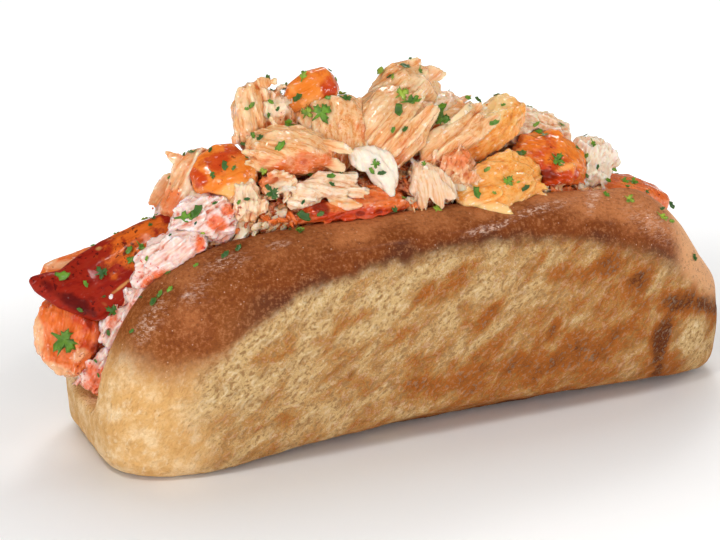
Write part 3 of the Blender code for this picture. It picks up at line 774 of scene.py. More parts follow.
CUTS = (
    Cut("claw", "crimson", (0.85, 0.5, 0), layers=(9, 0.0), furrows=(5.0, 0.04), lumps=(7.0, 0.30),
        relaxing=22, grow=0.4, blush=(0, 0, 0, 0),
        red=((0.45, 0.25, 11.0, 8.0, 28, 1.5), (0.1, 0.30, 9.0, 5.0, 26, 1.2),
             (0.95, 0.8, 9, 6, 30, 1.5)),
        # dark patches along the claw's underside: painted shade
        dark=((-0.45, -0.68, 10.0, 2.2, -32, 0.8), (0.0, -0.9, 8.0, 2.2, -28, 0.7),
              (-0.98, -0.3, 3, 3, 0, 0.4)),
        pale=((0.12, -0.35, 6.0, 0.55, 38, 0.8), (-0.18, 0.33, 1.2, 0.7, 20, 0.7),
              (-0.1, -0.72, 2.4, 1.0, -30, 0.35))),
    Cut("claw_root", "orange", (0.2, 1, 0), layers=(9, 0.0), furrows=(2.0, 0.1), lumps=(4.0, 0.6),
        froth=0.16, relaxing=7, blush=(0.5, 0.2, 0, 0.35),
        pale=((-0.85, -0.1, 1.6, 8.0, 6, 0.9), (-0.3, -0.85, 7.0, 1.8, -30, 1.0),
              (0.3, -0.5, 2.0, 1.2, 40, 0.7)),
        red=((0.5, 0.3, 4.0, 6.0, 20, 0.9), (-0.95, 0.0, 0.7, 7.0, 6, 1.2), (-0.2, 0.7, 5, 2, 0, 0.6)),
        dark=((0.62, 0.25, 1.6, 6.5, 14, 0.9),)),
    Cut("thumb", "orange", (0.9, 0.25, 0), layers=(9, 0.0), furrows=(2.0, 0.1), relaxing=10,
        blush=(0, 0, 0, 0.25),
        pale=((-0.72, 0.35, 3.4, 1.5, 70, 0.7), (-0.35, 0.12, 5.0, 1.0, 14, 0.7),
              (-0.5, 0.8, 5.0, 0.6, 14, 0.5))),
    Cut("knuckle_end", "knuckle", (0.5, 0.8, 0), froth=0.35, layers=(3.0, 0.4), furrows=(1.2, 0.25),
        lumps=(3.0, 0.8), bundles=FROTH, relaxing=3, blush=(0, -1, 0, 0.45),
        red=((0.1, -0.5, 4.0, 3.0, 20, 0.9), (-0.5, 0.3, 1.5, 3.0, 0, 0.6))),
    Cut("knuckle_low", "knuckle", (0.5, 0.8, 0), froth=0.35, layers=(3.4, 0.5), furrows=(1.5, 0.25),
        lumps=(3.4, 0.9), bundles=FROTH, relaxing=3, blush=(0.2, 0.2, 0, 0.35),
        red=((0.25, 0.35, 2.2, 1.8, 30, 0.8), (-0.5, 0.2, 1.5, 3.5, -10, 0.8),
             (0.75, 0.1, 1.0, 4.0, -20, 0.8))),
    Cut("knuckle_mid", "knuckle", (0.8, 0.6, 0), froth=0.25, layers=(3.2, 0.7), furrows=(1.5, 0.28),
        lumps=(3.4, 0.7), bundles=SHORT, relaxing=3, blush=(0.4, -0.6, 0, 0.35),
        red=((0.45, -0.35, 5.5, 1.1, 38, 1.0), (-0.4, -0.6, 3.0, 1.5, 40, 0.8),
             (0.8, 0.5, 1.5, 2.5, 0, 0.7))),
    Cut("knuckle_high", "knuckle", (0.8, 0.5, 0), froth=0.35, layers=(3.0, 0.7), furrows=(1.4, 0.28),
        lumps=(3.0, 0.8), bundles=FROTH, relaxing=3, blush=(0.3, -0.4, 0, 0.35),
        red=((-0.35, 0.1, 2.4, 1.6, 20, 0.9), (0.45, -0.25, 2.6, 1.6, -20, 0.9),
             (0.75, 0.3, 1.5, 1.5, 0, 0.8))),
    Cut("tail_cap", "amber", (0.9, 0.4, 0), layers=(5.0, 0.3), furrows=(1.6, 0.15), lumps=(4.5, 0.5),
        relaxing=10, grow=0.3, blush=(0, 0, 0, 0.1),
        red=((-0.3, 0.5, 4.6, 4.0, 0, 1.0), (0.25, 0.75, 3.5, 1.6, -20, 0.9),
             (-0.75, -0.2, 2.5, 3.0, 30, 0.9)),
        pale=((0.2, -0.75, 6.0, 1.6, 14, 0.8), (0.9, 0.1, 1.2, 4.0, 0, 0.4)),
        dark=((-0.45, 0.35, 1.5, 1.0, 0, 0.5),)),
    Cut("crumb_knob", "pale", (0.1, 1, 0), froth=0.35, layers=(3.0, 0.3), lumps=(2.2, 0.7),
        bundles=CRUMBS, relaxing=2, blush=(0, 0, 0, 0.0), pale=((0, 0.1, 4.0, 5.0, 0, 0.7),)),
    Cut("snippet", "pale", (0.8, 0.3, 0), froth=0.35, layers=(2.6, 0.4), lumps=(2.4, 0.8), bundles=FROTH,
        relaxing=2, blush=(-0.5, -0.3, 0, 0.3), pale=((0.3, -0.2, 3.0, 2.4, 0, 0.8),),
        red=((-0.6, 0.3, 2.2, 2.2, 0, 1.0),)),
    Cut("curl", "white", (1, -0.15, 0), froth=0.15, layers=(3.0, 0.8), furrows=(1.6, 0.26),
        lumps=(3.6, 0.5), bundles=((10, 6, 2.0, 1.1), (12, 3, 1.2, 0.8)), relaxing=3,
        blush=(0.4, -0.8, 0, 0.3), red=((0.2, -0.85, 6.0, 1.0, 6, 0.6),)),
    Cut("flake", "white", (0.4, -1, 0), layers=(3.2, 0.4), furrows=(1.2, 0.14),
        bundles=((10, 5, 1.5, 0.8),), relaxing=3, blush=(0, 0, 0, 0.0), grow=0.2,
        pale=((0, 0, 6, 6, 0, 0.9),)),
    Cut("rim_skin", "orange", (1, 0.15, 0), layers=(3.0, 0.4), lumps=(2.4, 0.7),
        bundles=((16, 3, 1.6, 1.1),), relaxing=4, blush=(0, -1, 0, 0.35),
        red=((0.1, -0.4, 12, 1.6, 6, 0.8), (-0.7, 0.0, 4, 3, 0, 0.9)),
        dark=((0.15, -0.35, 1.2, 0.7, 0, 0.9), (0.45, -0.2, 1.0, 0.7, 0, 0.9),
              (-0.5, -0.1, 2.5, 1.5, 0, 0.9))),
    Cut("crown_front", "meat", (0.62, 0.78, 0), layers=(3.6, 0.7), furrows=(1.4, 0.26), lumps=(5.0, 0.5),
        bundles=TIPS, relaxing=5, grow=0.3, blush=(-0.1, -1, 0, 0.2),
        pale=((-0.1, 0.35, 4.0, 7.0, -40, 0.45),),
        red=((-0.5, -0.7, 3.5, 2.5, 30, 0.7), (0.5, -0.2, 1.2, 5.0, -30, 0.5))),
    Cut("crown_back", "meat", (0.75, 0.6, 0), layers=(4.2, 0.8), furrows=(1.7, 0.26), lumps=(4.0, 0.6),
        bundles=((10, 9, 3.0, 1.0),), relaxing=5, grow=0.3, blush=(0, -1, 0, 0.15),
        pale=((0.4, 0.2, 4.0, 5.0, 0, 0.6),), red=((-0.85, -0.3, 1.6, 3.0, -30, 0.7),)),
    Cut("fan_middle", "meat", (0.75, 0.62, 0), layers=(5.0, 1.2), furrows=(2.2, 0.3), lumps=(5.0, 0.4),
        bundles=((6, 14, 4.0, 1.2),), relaxing=5, grow=0.2, blush=(0, -1, 0, 0.2),
        pale=((-0.2, 0.2, 5, 3.0, 40, 0.5),)),
    Cut("fan_golden", "gold", (0.8, 0.6, 0), layers=(5.0, 0.9), furrows=(2.0, 0.25), lumps=(2.2, 0.35),
        bundles=((20, 1.8, 1.2, 0.8),), relaxing=5, grow=0.2, blush=(0, -1, 0, 0.2),
        pale=((0.0, 0.45, 9.0, 4.0, 38, 0.9),)),
    Cut("fan_top", "white", (0.8, 0.6, 0), layers=(3.6, 0.7), furrows=(1.5, 0.25), bundles=TIPS,
        relaxing=3),
    Cut("fan_hanging", "white", (0.2, -1, 0), layers=(4.0, 0.5), furrows=(1.4, 0.12),
        bundles=((10, 6, 2.0, 0.8),), relaxing=3, blush=(0, -1, 0, 0.2)),
    Cut("crumb_mass", "pale", (0.3, 1, 0), froth=0.30, layers=(3.0, 0.3), lumps=(2.2, 0.8), bundles=FROTH,
        relaxing=2, blush=(0.5, 0.2, 0, 0.4),
        red=((-0.2, 0.3, 3.5, 3.0, 0, 0.6), (0.6, 0.2, 1.0, 3.0, -30, 0.8))),
    Cut("saddle", "gold", (0.95, 0.35, 0), layers=(6.0, 0.5), furrows=(2.2, 0.16), lumps=(5.0, 0.6),
        bundles=((8, 7, 3.0, 1.2), (10, 3, 1.6, 0.9)), relaxing=6, grow=0.2, blush=(0, 0, 0, 0.1),
        pale=((0.0, -0.85, 12.0, 2.4, -4, 0.8), (-0.7, 0.1, 3.0, 4.0, 0, 0.6)),
        red=((0.3, 0.6, 5, 2, 10, 0.3),)),
    Cut("claw_skin", "amber", (0.9, -0.3, 0), layers=(4.0, 0.5), furrows=(0.9, 0.25), lumps=(3.0, 0.5),
        bundles=((8, 3.4, 1.4, 0.9),), relaxing=6, grow=0.2, blush=(0, -1, 0, 0.3),
        red=((-0.1, 0.5, 6.0, 4.0, -20, 0.8), (0.0, -0.5, 6, 3, 0, 1.0)),
        dark=((-0.1, -0.65, 5.0, 1.6, 10, 0.9),), pale=((0.45, -0.35, 3.0, 0.8, 20, 0.6),)),
    Cut("end_strip", "orange", (0.9, -0.3, 0), layers=(9, 0.0), furrows=(1.8, 0.2), relaxing=8, grow=0.3,
        blush=(0.2, 0, 0, 0.2),
        pale=((-0.75, -0.3, 2.0, 4.0, -30, 0.9), (-0.2, -0.8, 8.0, 1.0, -14, 0.9))),
    Cut("fluff", "white", (0.2, 1, 0), froth=0.40, layers=(9.0, 0.0), lumps=(2.4, 0.8), bundles=FROTH,
        relaxing=2, blush=(0, -1, 0, 0), pale=((0, 0, 7, 8, 0, 0.6),)),
    Cut("tail_flakes", "meat", (0.1, 1, 0), fan=(0.5, 0.4, -0.6), layers=(3.4, 0.7), furrows=(1.5, 0.26),
        bundles=TIPS, relaxing=5, grow=0.3, blush=(0, -0.9, 0, 0.15),
        pale=((-0.5, 0.1, 3.0, 6.0, -20, 0.5), (0.1, 0.4, 2.5, 4.0, 20, 0.5)),
        red=((0.85, 0.2, 1.4, 3.5, 10, 0.7), (0.3, -0.75, 5.0, 2.0, 10, 0.6))),
    Cut("tail_slab", "meat", (1, -0.25, 0), layers=(3.6, 0.8), furrows=(1.6, 0.26), lumps=(3.0, 0.6),
        bundles=TIPS, relaxing=4, grow=0.3, blush=(0, -1, 0, 0.2),
        red=((0.35, -0.50, 9.0, 2.8, 12, 1.1), (0.75, -0.1, 3.5, 3.0, 20, 0.9),
             (-0.6, -0.4, 3.0, 1.6, 0, 0.5)), dark=((0.25, -0.5, 1.5, 0.8, 20, 0.6),),
        pale=((-0.3, 0.5, 7.0, 2.0, 6, 0.4),)),
    Cut("tail_block", "amber", (0.9, 0.5, 0), layers=(9, 0.0), furrows=(2.0, 0.05), lumps=(4.0, 0.2),
        voxel=0.3, relaxing=2, grow=0.5, blush=(0, 0, 0, 0.1),
        red=((0.75, 0.3, 2.2, 6.0, -25, 1.0), (0.4, 0.85, 5.0, 1.0, 20, 0.8))),
    Cut("tail_tuft", "meat", (-0.15, 1, 0), layers=(3.0, 0.7), furrows=(1.2, 0.26), lumps=(3.0, 0.5),
        bundles=TIPS, relaxing=4, grow=0.3, blush=(0, -1, 0, 0.1), red=((0.6, -0.55, 3.0, 3.0, 0, 0.9),),
        pale=((-0.3, 0.2, 2.5, 5.0, 10, 0.4),)),
    Cut("tail_rough", "pale", (0.1, 1, 0), froth=0.35, layers=(3.0, 0.3), lumps=(2.4, 0.7),
        bundles=CRUMBS, relaxing=2, blush=(0, -1, 0, 0.2), pale=((0.1, 0.35, 4.0, 2.5, 20, 0.9),),
        red=((0.35, -0.4, 4.0, 3.0, 0, 1.0),)),
    Cut("shoulder_flakes", "pale", (0.55, 0.8, 0), layers=(3.0, 0.7), furrows=(1.3, 0.26),
        lumps=(3.0, 0.6), bundles=TIPS, relaxing=3, blush=(-0.3, -0.8, 0, 0.3),
        red=((-0.3, -0.6, 4.0, 4.0, 40, 0.9), (-0.2, 0.8, 2.0, 1.5, 0, 0.9)),
        pale=((0.3, 0.1, 2.0, 7.0, -30, 0.8),)),
    Cut("ridge_flakes", "white", (0.9, -0.2, 0), froth=0.35, bundles=SHORT, relaxing=3,
        blush=(0, -1, 0, 0.2)),
    Cut("back_knuckle", "knuckle", (1, 0.4, 0), froth=0.30, lumps=(3.0, 0.8), bundles=FROTH, relaxing=3),
    Cut("back_tail", "meat", (1, 0.3, 0), layers=(3.6, 0.8), furrows=(1.5, 0.26), lumps=(5.0, 1.0),
        bundles=ROUGH, relaxing=4),
    Cut("back_lobe", "meat", (0.9, 0.5, 0), layers=(3.6, 0.8), furrows=(1.5, 0.26), lumps=(5.0, 1.0),
        bundles=ROUGH, relaxing=4),
    Cut("back_skin", "orange", (1, 0.3, 0), layers=(6, 0.4), relaxing=7, grow=0.2, blush=(0, 0, 0, 0.4)),
    Cut("back_flakes", "white", (1, 0, 0), froth=0.30, bundles=SHORT, relaxing=3),
)

# Flakes that stand out of a piece, by node: (right, up) of the root, heading in degrees,
# length, width, thickness, lift and droop.
FLAKES = {
    "claw_root": (
        (-0.70, 0.75, -100, 10, 2.4, 1.8, 0.3, 0.0),
        (-0.80, -0.15, -62, 8, 2.8, 1.8, 0.3, 0.0),
        (-0.25, -0.65, -24, 7, 2.6, 1.8, 0.3, 0.0),
        (0.45, 0.85, -95, 12, 2.2, 1.6, 0.2, 0.0),
    ),
    "knuckle_mid": (
        (-0.7, -0.5, 48, 7, 2.6, 1.4, 0.5, 0.0),
        (-0.2, 0.2, 30, 7, 2.8, 1.4, 0.5, 0.0),
        (0.3, -0.2, 52, 6, 2.4, 1.3, 0.4, 0.0),
    ),
    "knuckle_high": (
        (-0.4, 0.5, 20, 5, 2.6, 1.3, 0.5, 0.0),
        (0.3, 0.4, -60, 6, 2.8, 1.3, 0.5, 0.0),
        (-0.3, -0.3, 60, 5, 2.4, 1.2, 0.4, 0.0),
    ),
    "knuckle_low": (
        (0.1, -0.6, 70, 7, 2.6, 1.3, 0.5, 0.0),
        (0.2, 0.4, 50, 6, 2.4, 1.3, 0.5, 0.0),
        (-0.4, 0.0, 100, 5, 2.0, 1.2, 0.4, 0.0),
    ),
    "shoulder_flakes": (
        (-0.5, 0.3, -120, 9, 3.2, 0.9, 0.4, 0.0),
        (0.1, 0.25, -112, 10, 3.4, 1.0, 0.6, 0.0),
        (0.0, 0.55, 150, 5, 2.6, 0.9, 0.4, 0.0),
    ),
    "fan_hanging": (
        (-0.8, 0.9, -72, 9, 4.2, 0.8, 0.3, 0.1),
        (-0.2, 0.9, -64, 10, 4.0, 0.8, 0.7, 0.1),
        (0.4, 0.7, -52, 9, 3.4, 0.7, 0.6, 0.1),
        (-0.3, 0.0, -84, 6, 3.0, 0.7, 1.0, 0.1),
        (0.5, -0.1, -38, 6, 2.6, 0.6, 0.8, 0.0),
        (1.0, 0.1, -30, 6, 2.6, 0.7, 0.6, 0.0),
    ),
    "crumb_mass": (
        (0.1, -0.1, 68, 6, 1.3, 0.6, 1.0, 0.0),
        (0.3, -0.5, -10, 6, 3.4, 0.8, 0.6, 0.2),
        (0.4, -0.8, -35, 6, 2.2, 0.8, 0.6, 0.0),
    ),
    "curl": (
        (0.05, -0.2, -25, 9, 3.0, 1.0, 0.4, -0.3),
        (0.5, -0.1, 10, 6, 3.6, 0.9, 0.5, 0.8),
        (-0.6, 0.0, -30, 4, 2.0, 1.1, 0.5, 0.0),
        (-0.3, 0.4, 20, 4.5, 1.8, 1.0, 0.5, 0.0),
    ),
    "flake": (
        (-0.8, 0.75, -28, 7, 3.0, 0.7, 0.6, 0.2),
        (-0.2, 0.6, -50, 8, 3.0, 0.7, 0.7, 0.3),
        (0.2, 0.2, -65, 7, 2.4, 0.6, 0.8, 0.3),
        (0.5, 0.1, -80, 6, 2.0, 0.6, 0.6, 0.3),
    ),
    "snippet": (
        (0.0, 0.5, -60, 5, 2.0, 0.9, 0.4, 0.0),
        (0.5, 0.2, -100, 5, 1.8, 0.8, 0.4, 0.0),
    ),
    "crumb_knob": (
        (0.3, 0.6, -80, 6, 2.8, 1.0, 0.5, 0.0),
        (-0.4, 0.1, -95, 4, 2.6, 1.0, 0.6, 0.0),
    ),
    "fan_top": (
        (0.3, 0.4, 35, 8, 2.6, 0.8, 0.4, 0.2),
        (0.8, 0.3, 20, 7, 2.2, 0.7, 0.4, 0.2),
    ),
    "tail_rough": (
        (0.2, 0.5, 20, 5, 1.8, 0.7, 0.4, 0.0),
        (-0.3, 0.7, 35, 5, 1.6, 0.7, 0.3, 0.0),
    ),
    "saddle": (
        (-0.35, -0.72, -16, 7, 4.4, 0.8, 0.1, 0.0),
        (-0.5, 0.4, 5, 13, 5.0, 1.1, 0.3, 0.0),
        (0.2, 0.2, -10, 9, 4.4, 1.0, 0.3, 0.3),
    ),
    "crown_back": (
        (0.9, -0.2, -60, 5, 1.0, 0.4, 0.5, 0.0),
        (-0.6, -0.3, 48, 12, 3.4, 1.0, 0.3, 0.2),
        (0.1, 0.6, 10, 8, 3.4, 1.0, 0.3, 0.4),
        (0.5, 0.3, -65, 9, 3.6, 1.0, 0.4, 0.0),
    ),
    "crown_front": (
        (-0.55, -0.2, 52, 15, 3.4, 1.0, 0.3, 0.0),
        (-0.3, -0.5, 50, 17, 3.2, 1.0, 0.4, 0.0),
        (0.0, -0.75, 48, 16, 3.0, 1.0, 0.4, 0.0),
        (0.35, -0.75, 54, 14, 2.8, 0.9, 0.4, 0.0),
    ),
    "fan_middle": (
        (-0.5, -0.6, 45, 15, 4.4, 1.1, 0.3, 0.0),
        (0.0, -0.5, 38, 13, 3.6, 1.0, 0.4, 0.0),
    ),
    "fan_golden": (
        (-0.6, -0.5, 34, 16, 3.6, 1.0, 0.3, 0.0),
    ),
    "tail_flakes": (
        (-0.7, 0.6, -78, 13, 3.2, 1.0, 0.3, 0.0),
        (-0.35, 0.7, -80, 15, 3.4, 1.0, 0.4, 0.0),
        (0.1, 0.7, -95, 15, 3.2, 1.0, 0.4, 0.0),
        (0.5, 0.6, -100, 13, 3.0, 1.0, 0.4, 0.0),
    ),
    "tail_slab": (
        (-0.8, 0.3, 8, 14, 3.4, 1.0, 0.3, 0.1),
        (-0.1, 0.6, -12, 14, 2.6, 1.0, 0.4, 0.1),
        (0.1, 0.1, -22, 11, 2.6, 0.9, 0.4, 0.1),
    ),
    "tail_tuft": (
        (-0.6, 0.5, -85, 11, 2.6, 0.9, 0.3, 0.0),
        (0.0, 0.6, -88, 12, 2.6, 0.9, 0.3, 0.0),
        (0.0, 0.95, 10, 5, 2.4, 1.3, 0.2, 0.0),
    ),
    "claw_skin": (
        (0.2, -0.2, -10, 5, 1.6, 0.5, 0.8, 0.0),
        (0.55, -0.2, -85, 5, 1.4, 0.5, 0.7, 0.0),
    ),
}


BUNDLE_STEPS = 7
BUNDLE_SIDES = 10
FAR_OUT = 30


def frame_of(grain):
    """Across the grain in the picture plane, and towards the viewer."""
    side = VIEW_NEAR.cross(grain).normalized()
    return side, grain.cross(side).normalized()


def add_bundle(shape, path, faces_out, width, thick, dice):
    """One tapered bundle of fibres along a path, its far end ragged."""
    loops = []
    count = len(path)
    notches = [dice.uniform(-1, 1) for _ in range(BUNDLE_SIDES)]
    for index, place in enumerate(path):
        share = (index + 0.5) / count
        close = math.sin(math.pi * share) ** 0.55
        along = (path[min(index + 1, count - 1)] - path[max(index - 1, 0)]).normalized()
        out = faces_out[index]
        side = along.cross(out).normalized()
        loop = []
        for turn in range(BUNDLE_SIDES):
            angle = 2 * math.pi * turn / BUNDLE_SIDES
            wide = width * close * (1 + 0.35 * notches[turn] * share)
            loop.append(shape.verts.new(place + side * (math.cos(angle) * wide)
                                        + out * (math.sin(angle) * thick * close)
                                        + along * (notches[turn] * width * 0.7 * share ** 3)))
        loops.append(loop)
    for first, second in zip(loops, loops[1:]):
        for turn in range(BUNDLE_SIDES):
            after = (turn + 1) % BUNDLE_SIDES
            shape.faces.new((first[turn], first[after], second[after], second[turn]))
    shape.faces.new(loops[0][::-1])
    shape.faces.new(loops[-1])


def grain_at(cut, place):
    if cut.fan is None:
        return cut.grain
    return (place - in_node(cut.node, *cut.fan)).normalized()


def lay_bundles(cut, shape, body):
    """Cover a body with bundles of fibres that follow its grain and hug its skin."""
    tree = BVHTree.FromBMesh(body)
    places = [vert.co for vert in body.verts]
    middle = sum(places, Vector()) / len(places)
    runs = [(place - middle).dot(cut.grain) for place in places]
    side, front = frame_of(cut.grain)
    dice = random.Random(cut.node)
    turn = dice.random() * 6
    for count, length, width, thick in cut.bundles:
        for index in range(count):
            turn += GOLDEN
            share = (index * 0.618 + dice.random() * 0.3) % 1.0
            run = min(runs) + (max(runs) - min(runs)) * share
            outside = middle + cut.grain * run
            outside += (side * math.cos(turn) + front * math.sin(turn)) * FAR_OUT * MM
            start, out, _, _ = tree.find_nearest(outside)
            size = dice.uniform(0.6, 1.3)
            step = length * size * MM / BUNDLE_STEPS
            sway = (side * dice.uniform(-1, 1) + front * dice.uniform(-1, 1)) * 0.3
            spot = start - (grain_at(cut, start) + sway).normalized() * step * BUNDLE_STEPS * 0.5
            path, outs = [], []
            for _ in range(BUNDLE_STEPS + 1):
                near, facing, _, distance = tree.find_nearest(spot)
                if distance < width * 0.9 * MM:
                    spot = near
                    out = facing
                path.append(spot + out * dice.uniform(-0.1, 0.25) * thick * MM)
                outs.append(out.copy())
                spot = spot + (grain_at(cut, spot) + sway).normalized() * step
            add_bundle(shape, path, outs, width * size * 0.5 * MM, thick * size * 0.5 * MM, dice)


FLAKE_STEPS = 9
FLAKE_RAY = 25
FLAKE_REACH = 1.6


def lay_flakes(cut, shape, body):
    """Add the flakes that stand out of a piece, each a thin ragged petal."""
    tree = BVHTree.FromBMesh(body)
    dice = random.Random(cut.node + " flakes")

    def facing_spot(spot):
        return tree.ray_cast(spot + VIEW_NEAR * FLAKE_RAY * MM, -VIEW_NEAR)[:2]

    for right, up, heading, length, width, thick, lift, droop in FLAKES.get(cut.node, ()):
        spot, _ = spot_in_view(tree, cut.node, right, up)
        ahead = view_heading(heading)
        step = length * MM / FLAKE_STEPS
        path, outs = [], []
        for index in range(FLAKE_STEPS + 1):
            share = index / FLAKE_STEPS
            path.append(spot + VIEW_NEAR * lift * MM * (share - 0.15))
            hit, facing = facing_spot(spot)
            outs.append((facing + VIEW_NEAR * 1.2).normalized() if hit else VIEW_NEAR.copy())
            spot = spot + ahead * step - VIEW_UP * droop * share * step
            hit, _ = facing_spot(spot)
            if hit and abs((hit - spot).dot(VIEW_NEAR)) < FLAKE_REACH * MM:
                spot = hit
        add_bundle(shape, path, outs, width * 0.5 * MM, thick * 0.5 * MM, dice)


def grain_places(cut, places):
    """Each point's place measured along and across the grain."""
    along = np.array(cut.grain)
    side, front = (np.array(axis) for axis in frame_of(cut.grain))
    if cut.fan is None:
        return np.stack([places @ along, places @ side, places @ front], axis=1)
    root = np.array(in_node(cut.node, *cut.fan))
    arm = places - root
    reach = np.linalg.norm(arm, axis=1)
    run = np.maximum(arm @ along, 1 * MM)
    spread = reach.mean()
    return np.stack([reach, arm @ side / run * spread, arm @ front / run * spread], axis=1)


def flaked(cut, places, along, seed):
    """How far each point stands out: overlapping flakes, fibre ridges, lumps and frills."""
    width, height = cut.layers
    step = (along[:, 1] + along[:, 2] * 0.35) / (width * MM)
    step += (rough(along, (26.0, 11.0, 14.0), seed + 31, 2) * 1.1
             + rough(along, (7.0, 2.5, 5.0), seed + 37, 2) * 0.12)
    saw = step - np.floor(step)
    broken = step_between(rough(along, (9.0, 6.0, 6.0), seed + 53, 2), -0.45, 0.25)
    push = (np.minimum(saw / 0.86, (1 - saw) / 0.14) - 0.5) * height * broken
    width, depth = cut.furrows
    ridges = np.abs(rough(along, (width * 16, width, width * 5), seed + 5, 2)) * 2.4 - 0.6
    push += ridges * depth * (0.35 + 0.5 * broken)
    width, height = cut.lumps
    frills = 0.8 - np.abs(rough(along, (3.4, 1.7, 2.4), seed + 41, 3)) * 4
    return push + rough(places, width, seed, 3) * height + frills * cut.froth


# How often a skin is relaxed to find what stands above it, finely and broadly, with weights.
RELIEF_SCALES = ((10, 1.3), (70, 0.45))
PATCH_RAGGED = 0.9
HEAP_VOXEL = 0.45


def mark_relief(item, places):
    """Store how far each point stands above its surroundings."""
    relief = sum((places - relaxed_points(item, times)) * weight for times, weight in RELIEF_SCALES) / MM
    set_mask(item.data, "crest", np.clip(0.5 + (relief * get_normals(item.data)).sum(axis=1), 0, 1))


def make_cut(cut, finishes):
    """One piece of lobster, fused from its body and its bundles, then flaked and furrowed."""
    body = bmesh.new()
    body.from_mesh(node_skin(cut.node))
    body.normal_update()
    shape = body.copy()
    lay_bundles(cut, shape, body)
    lay_flakes(cut, shape, body)
    body.free()
    bmesh.ops.recalc_face_normals(shape, faces=shape.faces[:])
    mesh = bpy.data.meshes.new(cut.node + "_meat")
    shape.to_mesh(mesh)
    shape.free()
    item = new_object(cut.node + "_meat", mesh)
    fuse(item, cut.voxel, cut.relaxing)
    mesh = item.data
    places, normals = get_points(mesh), get_normals(mesh)
    seed = sum(map(ord, cut.node))
    along = grain_places(cut, places)
    places = pushed(places, normals, flaked(cut, places, along, seed) + cut.grow)
    set_points(mesh, places)
    mark_relief(item, places)
    low, high = places.min(axis=0), places.max(axis=0)
    middle, reach = (low + high) / 2, np.linalg.norm(high - low) / 2
    *lean, bias = cut.blush
    set_mask(mesh, "blush", (places - middle) @ np.array(view_way(*lean)) / reach + bias)
    for name, spots in cut.patches.items():
        set_mask(mesh, name, painted(cut.node, places, spots, PATCH_RAGGED, seed))
    set_places(mesh, "grain", along)
    return finished(item, [cut.node], finishes[cut.finish])


def make_heap(finishes):
    """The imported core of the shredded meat."""
    item = new_object("shredded_core", node_skin("shredded_meat"))
    fuse(item, HEAP_VOXEL, 4)
    mesh = item.data
    places, normals = get_points(mesh), get_normals(mesh)
    places = pushed(places, normals, rough(places, (3.0, 2.0, 2.0), 41, 3) * 0.9 - 0.7)
    set_points(mesh, places)
    mark_relief(item, places)
    set_mask(mesh, "blush", rough(places, 9.0, 43, 2) * 0.4 + 0.45)
    set_places(mesh, "grain", places)
    return finished(item, ["shredded_meat"], finishes["rust"])


# --- loose flakes, shreds and herbs --------------------------------------------------
class Gather:
    """Many small closed shapes that become one mesh."""

    def __init__(self):
        self.points, self.faces, self.grains, self.crests, self.tints = [], [], [], [], []

    def add_loops(self, loops, grains, crests, tint):
        """Join loops of points into a closed skin."""
        first = len(self.points)
        sides = len(loops[0])
        for loop, run, tops in zip(loops, grains, crests):
            self.points.extend(loop)
            self.grains.extend(run)
            self.crests.extend(tops)
            self.tints.extend([tint] * sides)
        for ring in range(len(loops) - 1):
            low, high = first + ring * sides, first + (ring + 1) * sides
            for turn in range(sides):
                after = (turn + 1) % sides
                self.faces.append((low + turn, low + after, high + after, high + turn))
        self.faces.append(tuple(first + turn for turn in reversed(range(sides))))
        self.faces.append(tuple(first + (len(loops) - 1) * sides + turn for turn in range(sides)))

    def made(self, name):
        mesh = bpy.data.meshes.new(name)
        mesh.from_pydata([tuple(point) for point in self.points], [], self.faces)
        skin = bmesh.new()
        skin.from_mesh(mesh)
        bmesh.ops.recalc_face_normals(skin, faces=skin.faces[:])
        skin.to_mesh(mesh)
        skin.free()
        set_mask(mesh, "crest", np.array(self.crests))
        set_mask(mesh, "blush", np.array(self.tints))
        set_places(mesh, "grain", np.array([tuple(grain) for grain in self.grains]))
        return new_object(name, mesh)


def surface_of(items):
    """One tree for ray casts that holds all the given objects."""
    points, faces = [], []
    for item in items:
        first = len(points)
        points.extend(vert.co.copy() for vert in item.data.vertices)
        faces.extend(tuple(first + index for index in face.vertices) for face in item.data.polygons)
    return BVHTree.FromPolygons(points, faces)


SHRED_SIDES = 6


def shred_shape(name, length, width, thick, curl, seed):
    """One shred, centred on its own origin, with its grain along X."""
    dice = random.Random(seed)
    gather = Gather()
    steps = 4 if length < 3 else 6
    loops, grains, crests = [], [], []
    for index in range(steps + 1):
        run = index / steps - 0.5
        bend, wave = curl * length * (run * run - 0.1), 0.25 * thick * math.sin(run * 9)
        place = Vector((run * length, bend, wave)) * MM
        share = (index + 0.5) / (steps + 1)
        swell = math.sin(math.pi * share) ** 0.5
        loop, grain, tops = [], [], []
        for turn in range(SHRED_SIDES):
            angle = 2 * math.pi * turn / SHRED_SIDES
            size = swell * dice.uniform(0.4, 1.5)
            across, up = math.cos(angle) * width, math.sin(angle) * thick
            loop.append(place + Vector((0, across * 0.5 * size, up * 0.5 * size)) * MM)
            grain.append(Vector((share * length, across, seed)) * MM)
            tops.append(dice.uniform(0.35, 0.8))
        loops.append(loop)
        grains.append(grain)
        crests.append(tops)
    gather.add_loops(loops, grains, crests, 0.0)
    return gather.made(name)


# Shreds that are strewn over the core: length, width, thickness, curl, how many to a
# square millimetre, finish.
SHREDS = {
    "strands": (5.2, 2.6, 0.8, 0.6, 0.08, "white"),
    "curls": (3.6, 2.6, 1.0, 1.2, 0.12, "pale"),
    "bits": (2.4, 2.0, 1.2, 0.5, 0.22, "rust"),
    "flecks": (3.2, 2.4, 0.8, 0.7, 0.12, "orange"),
}


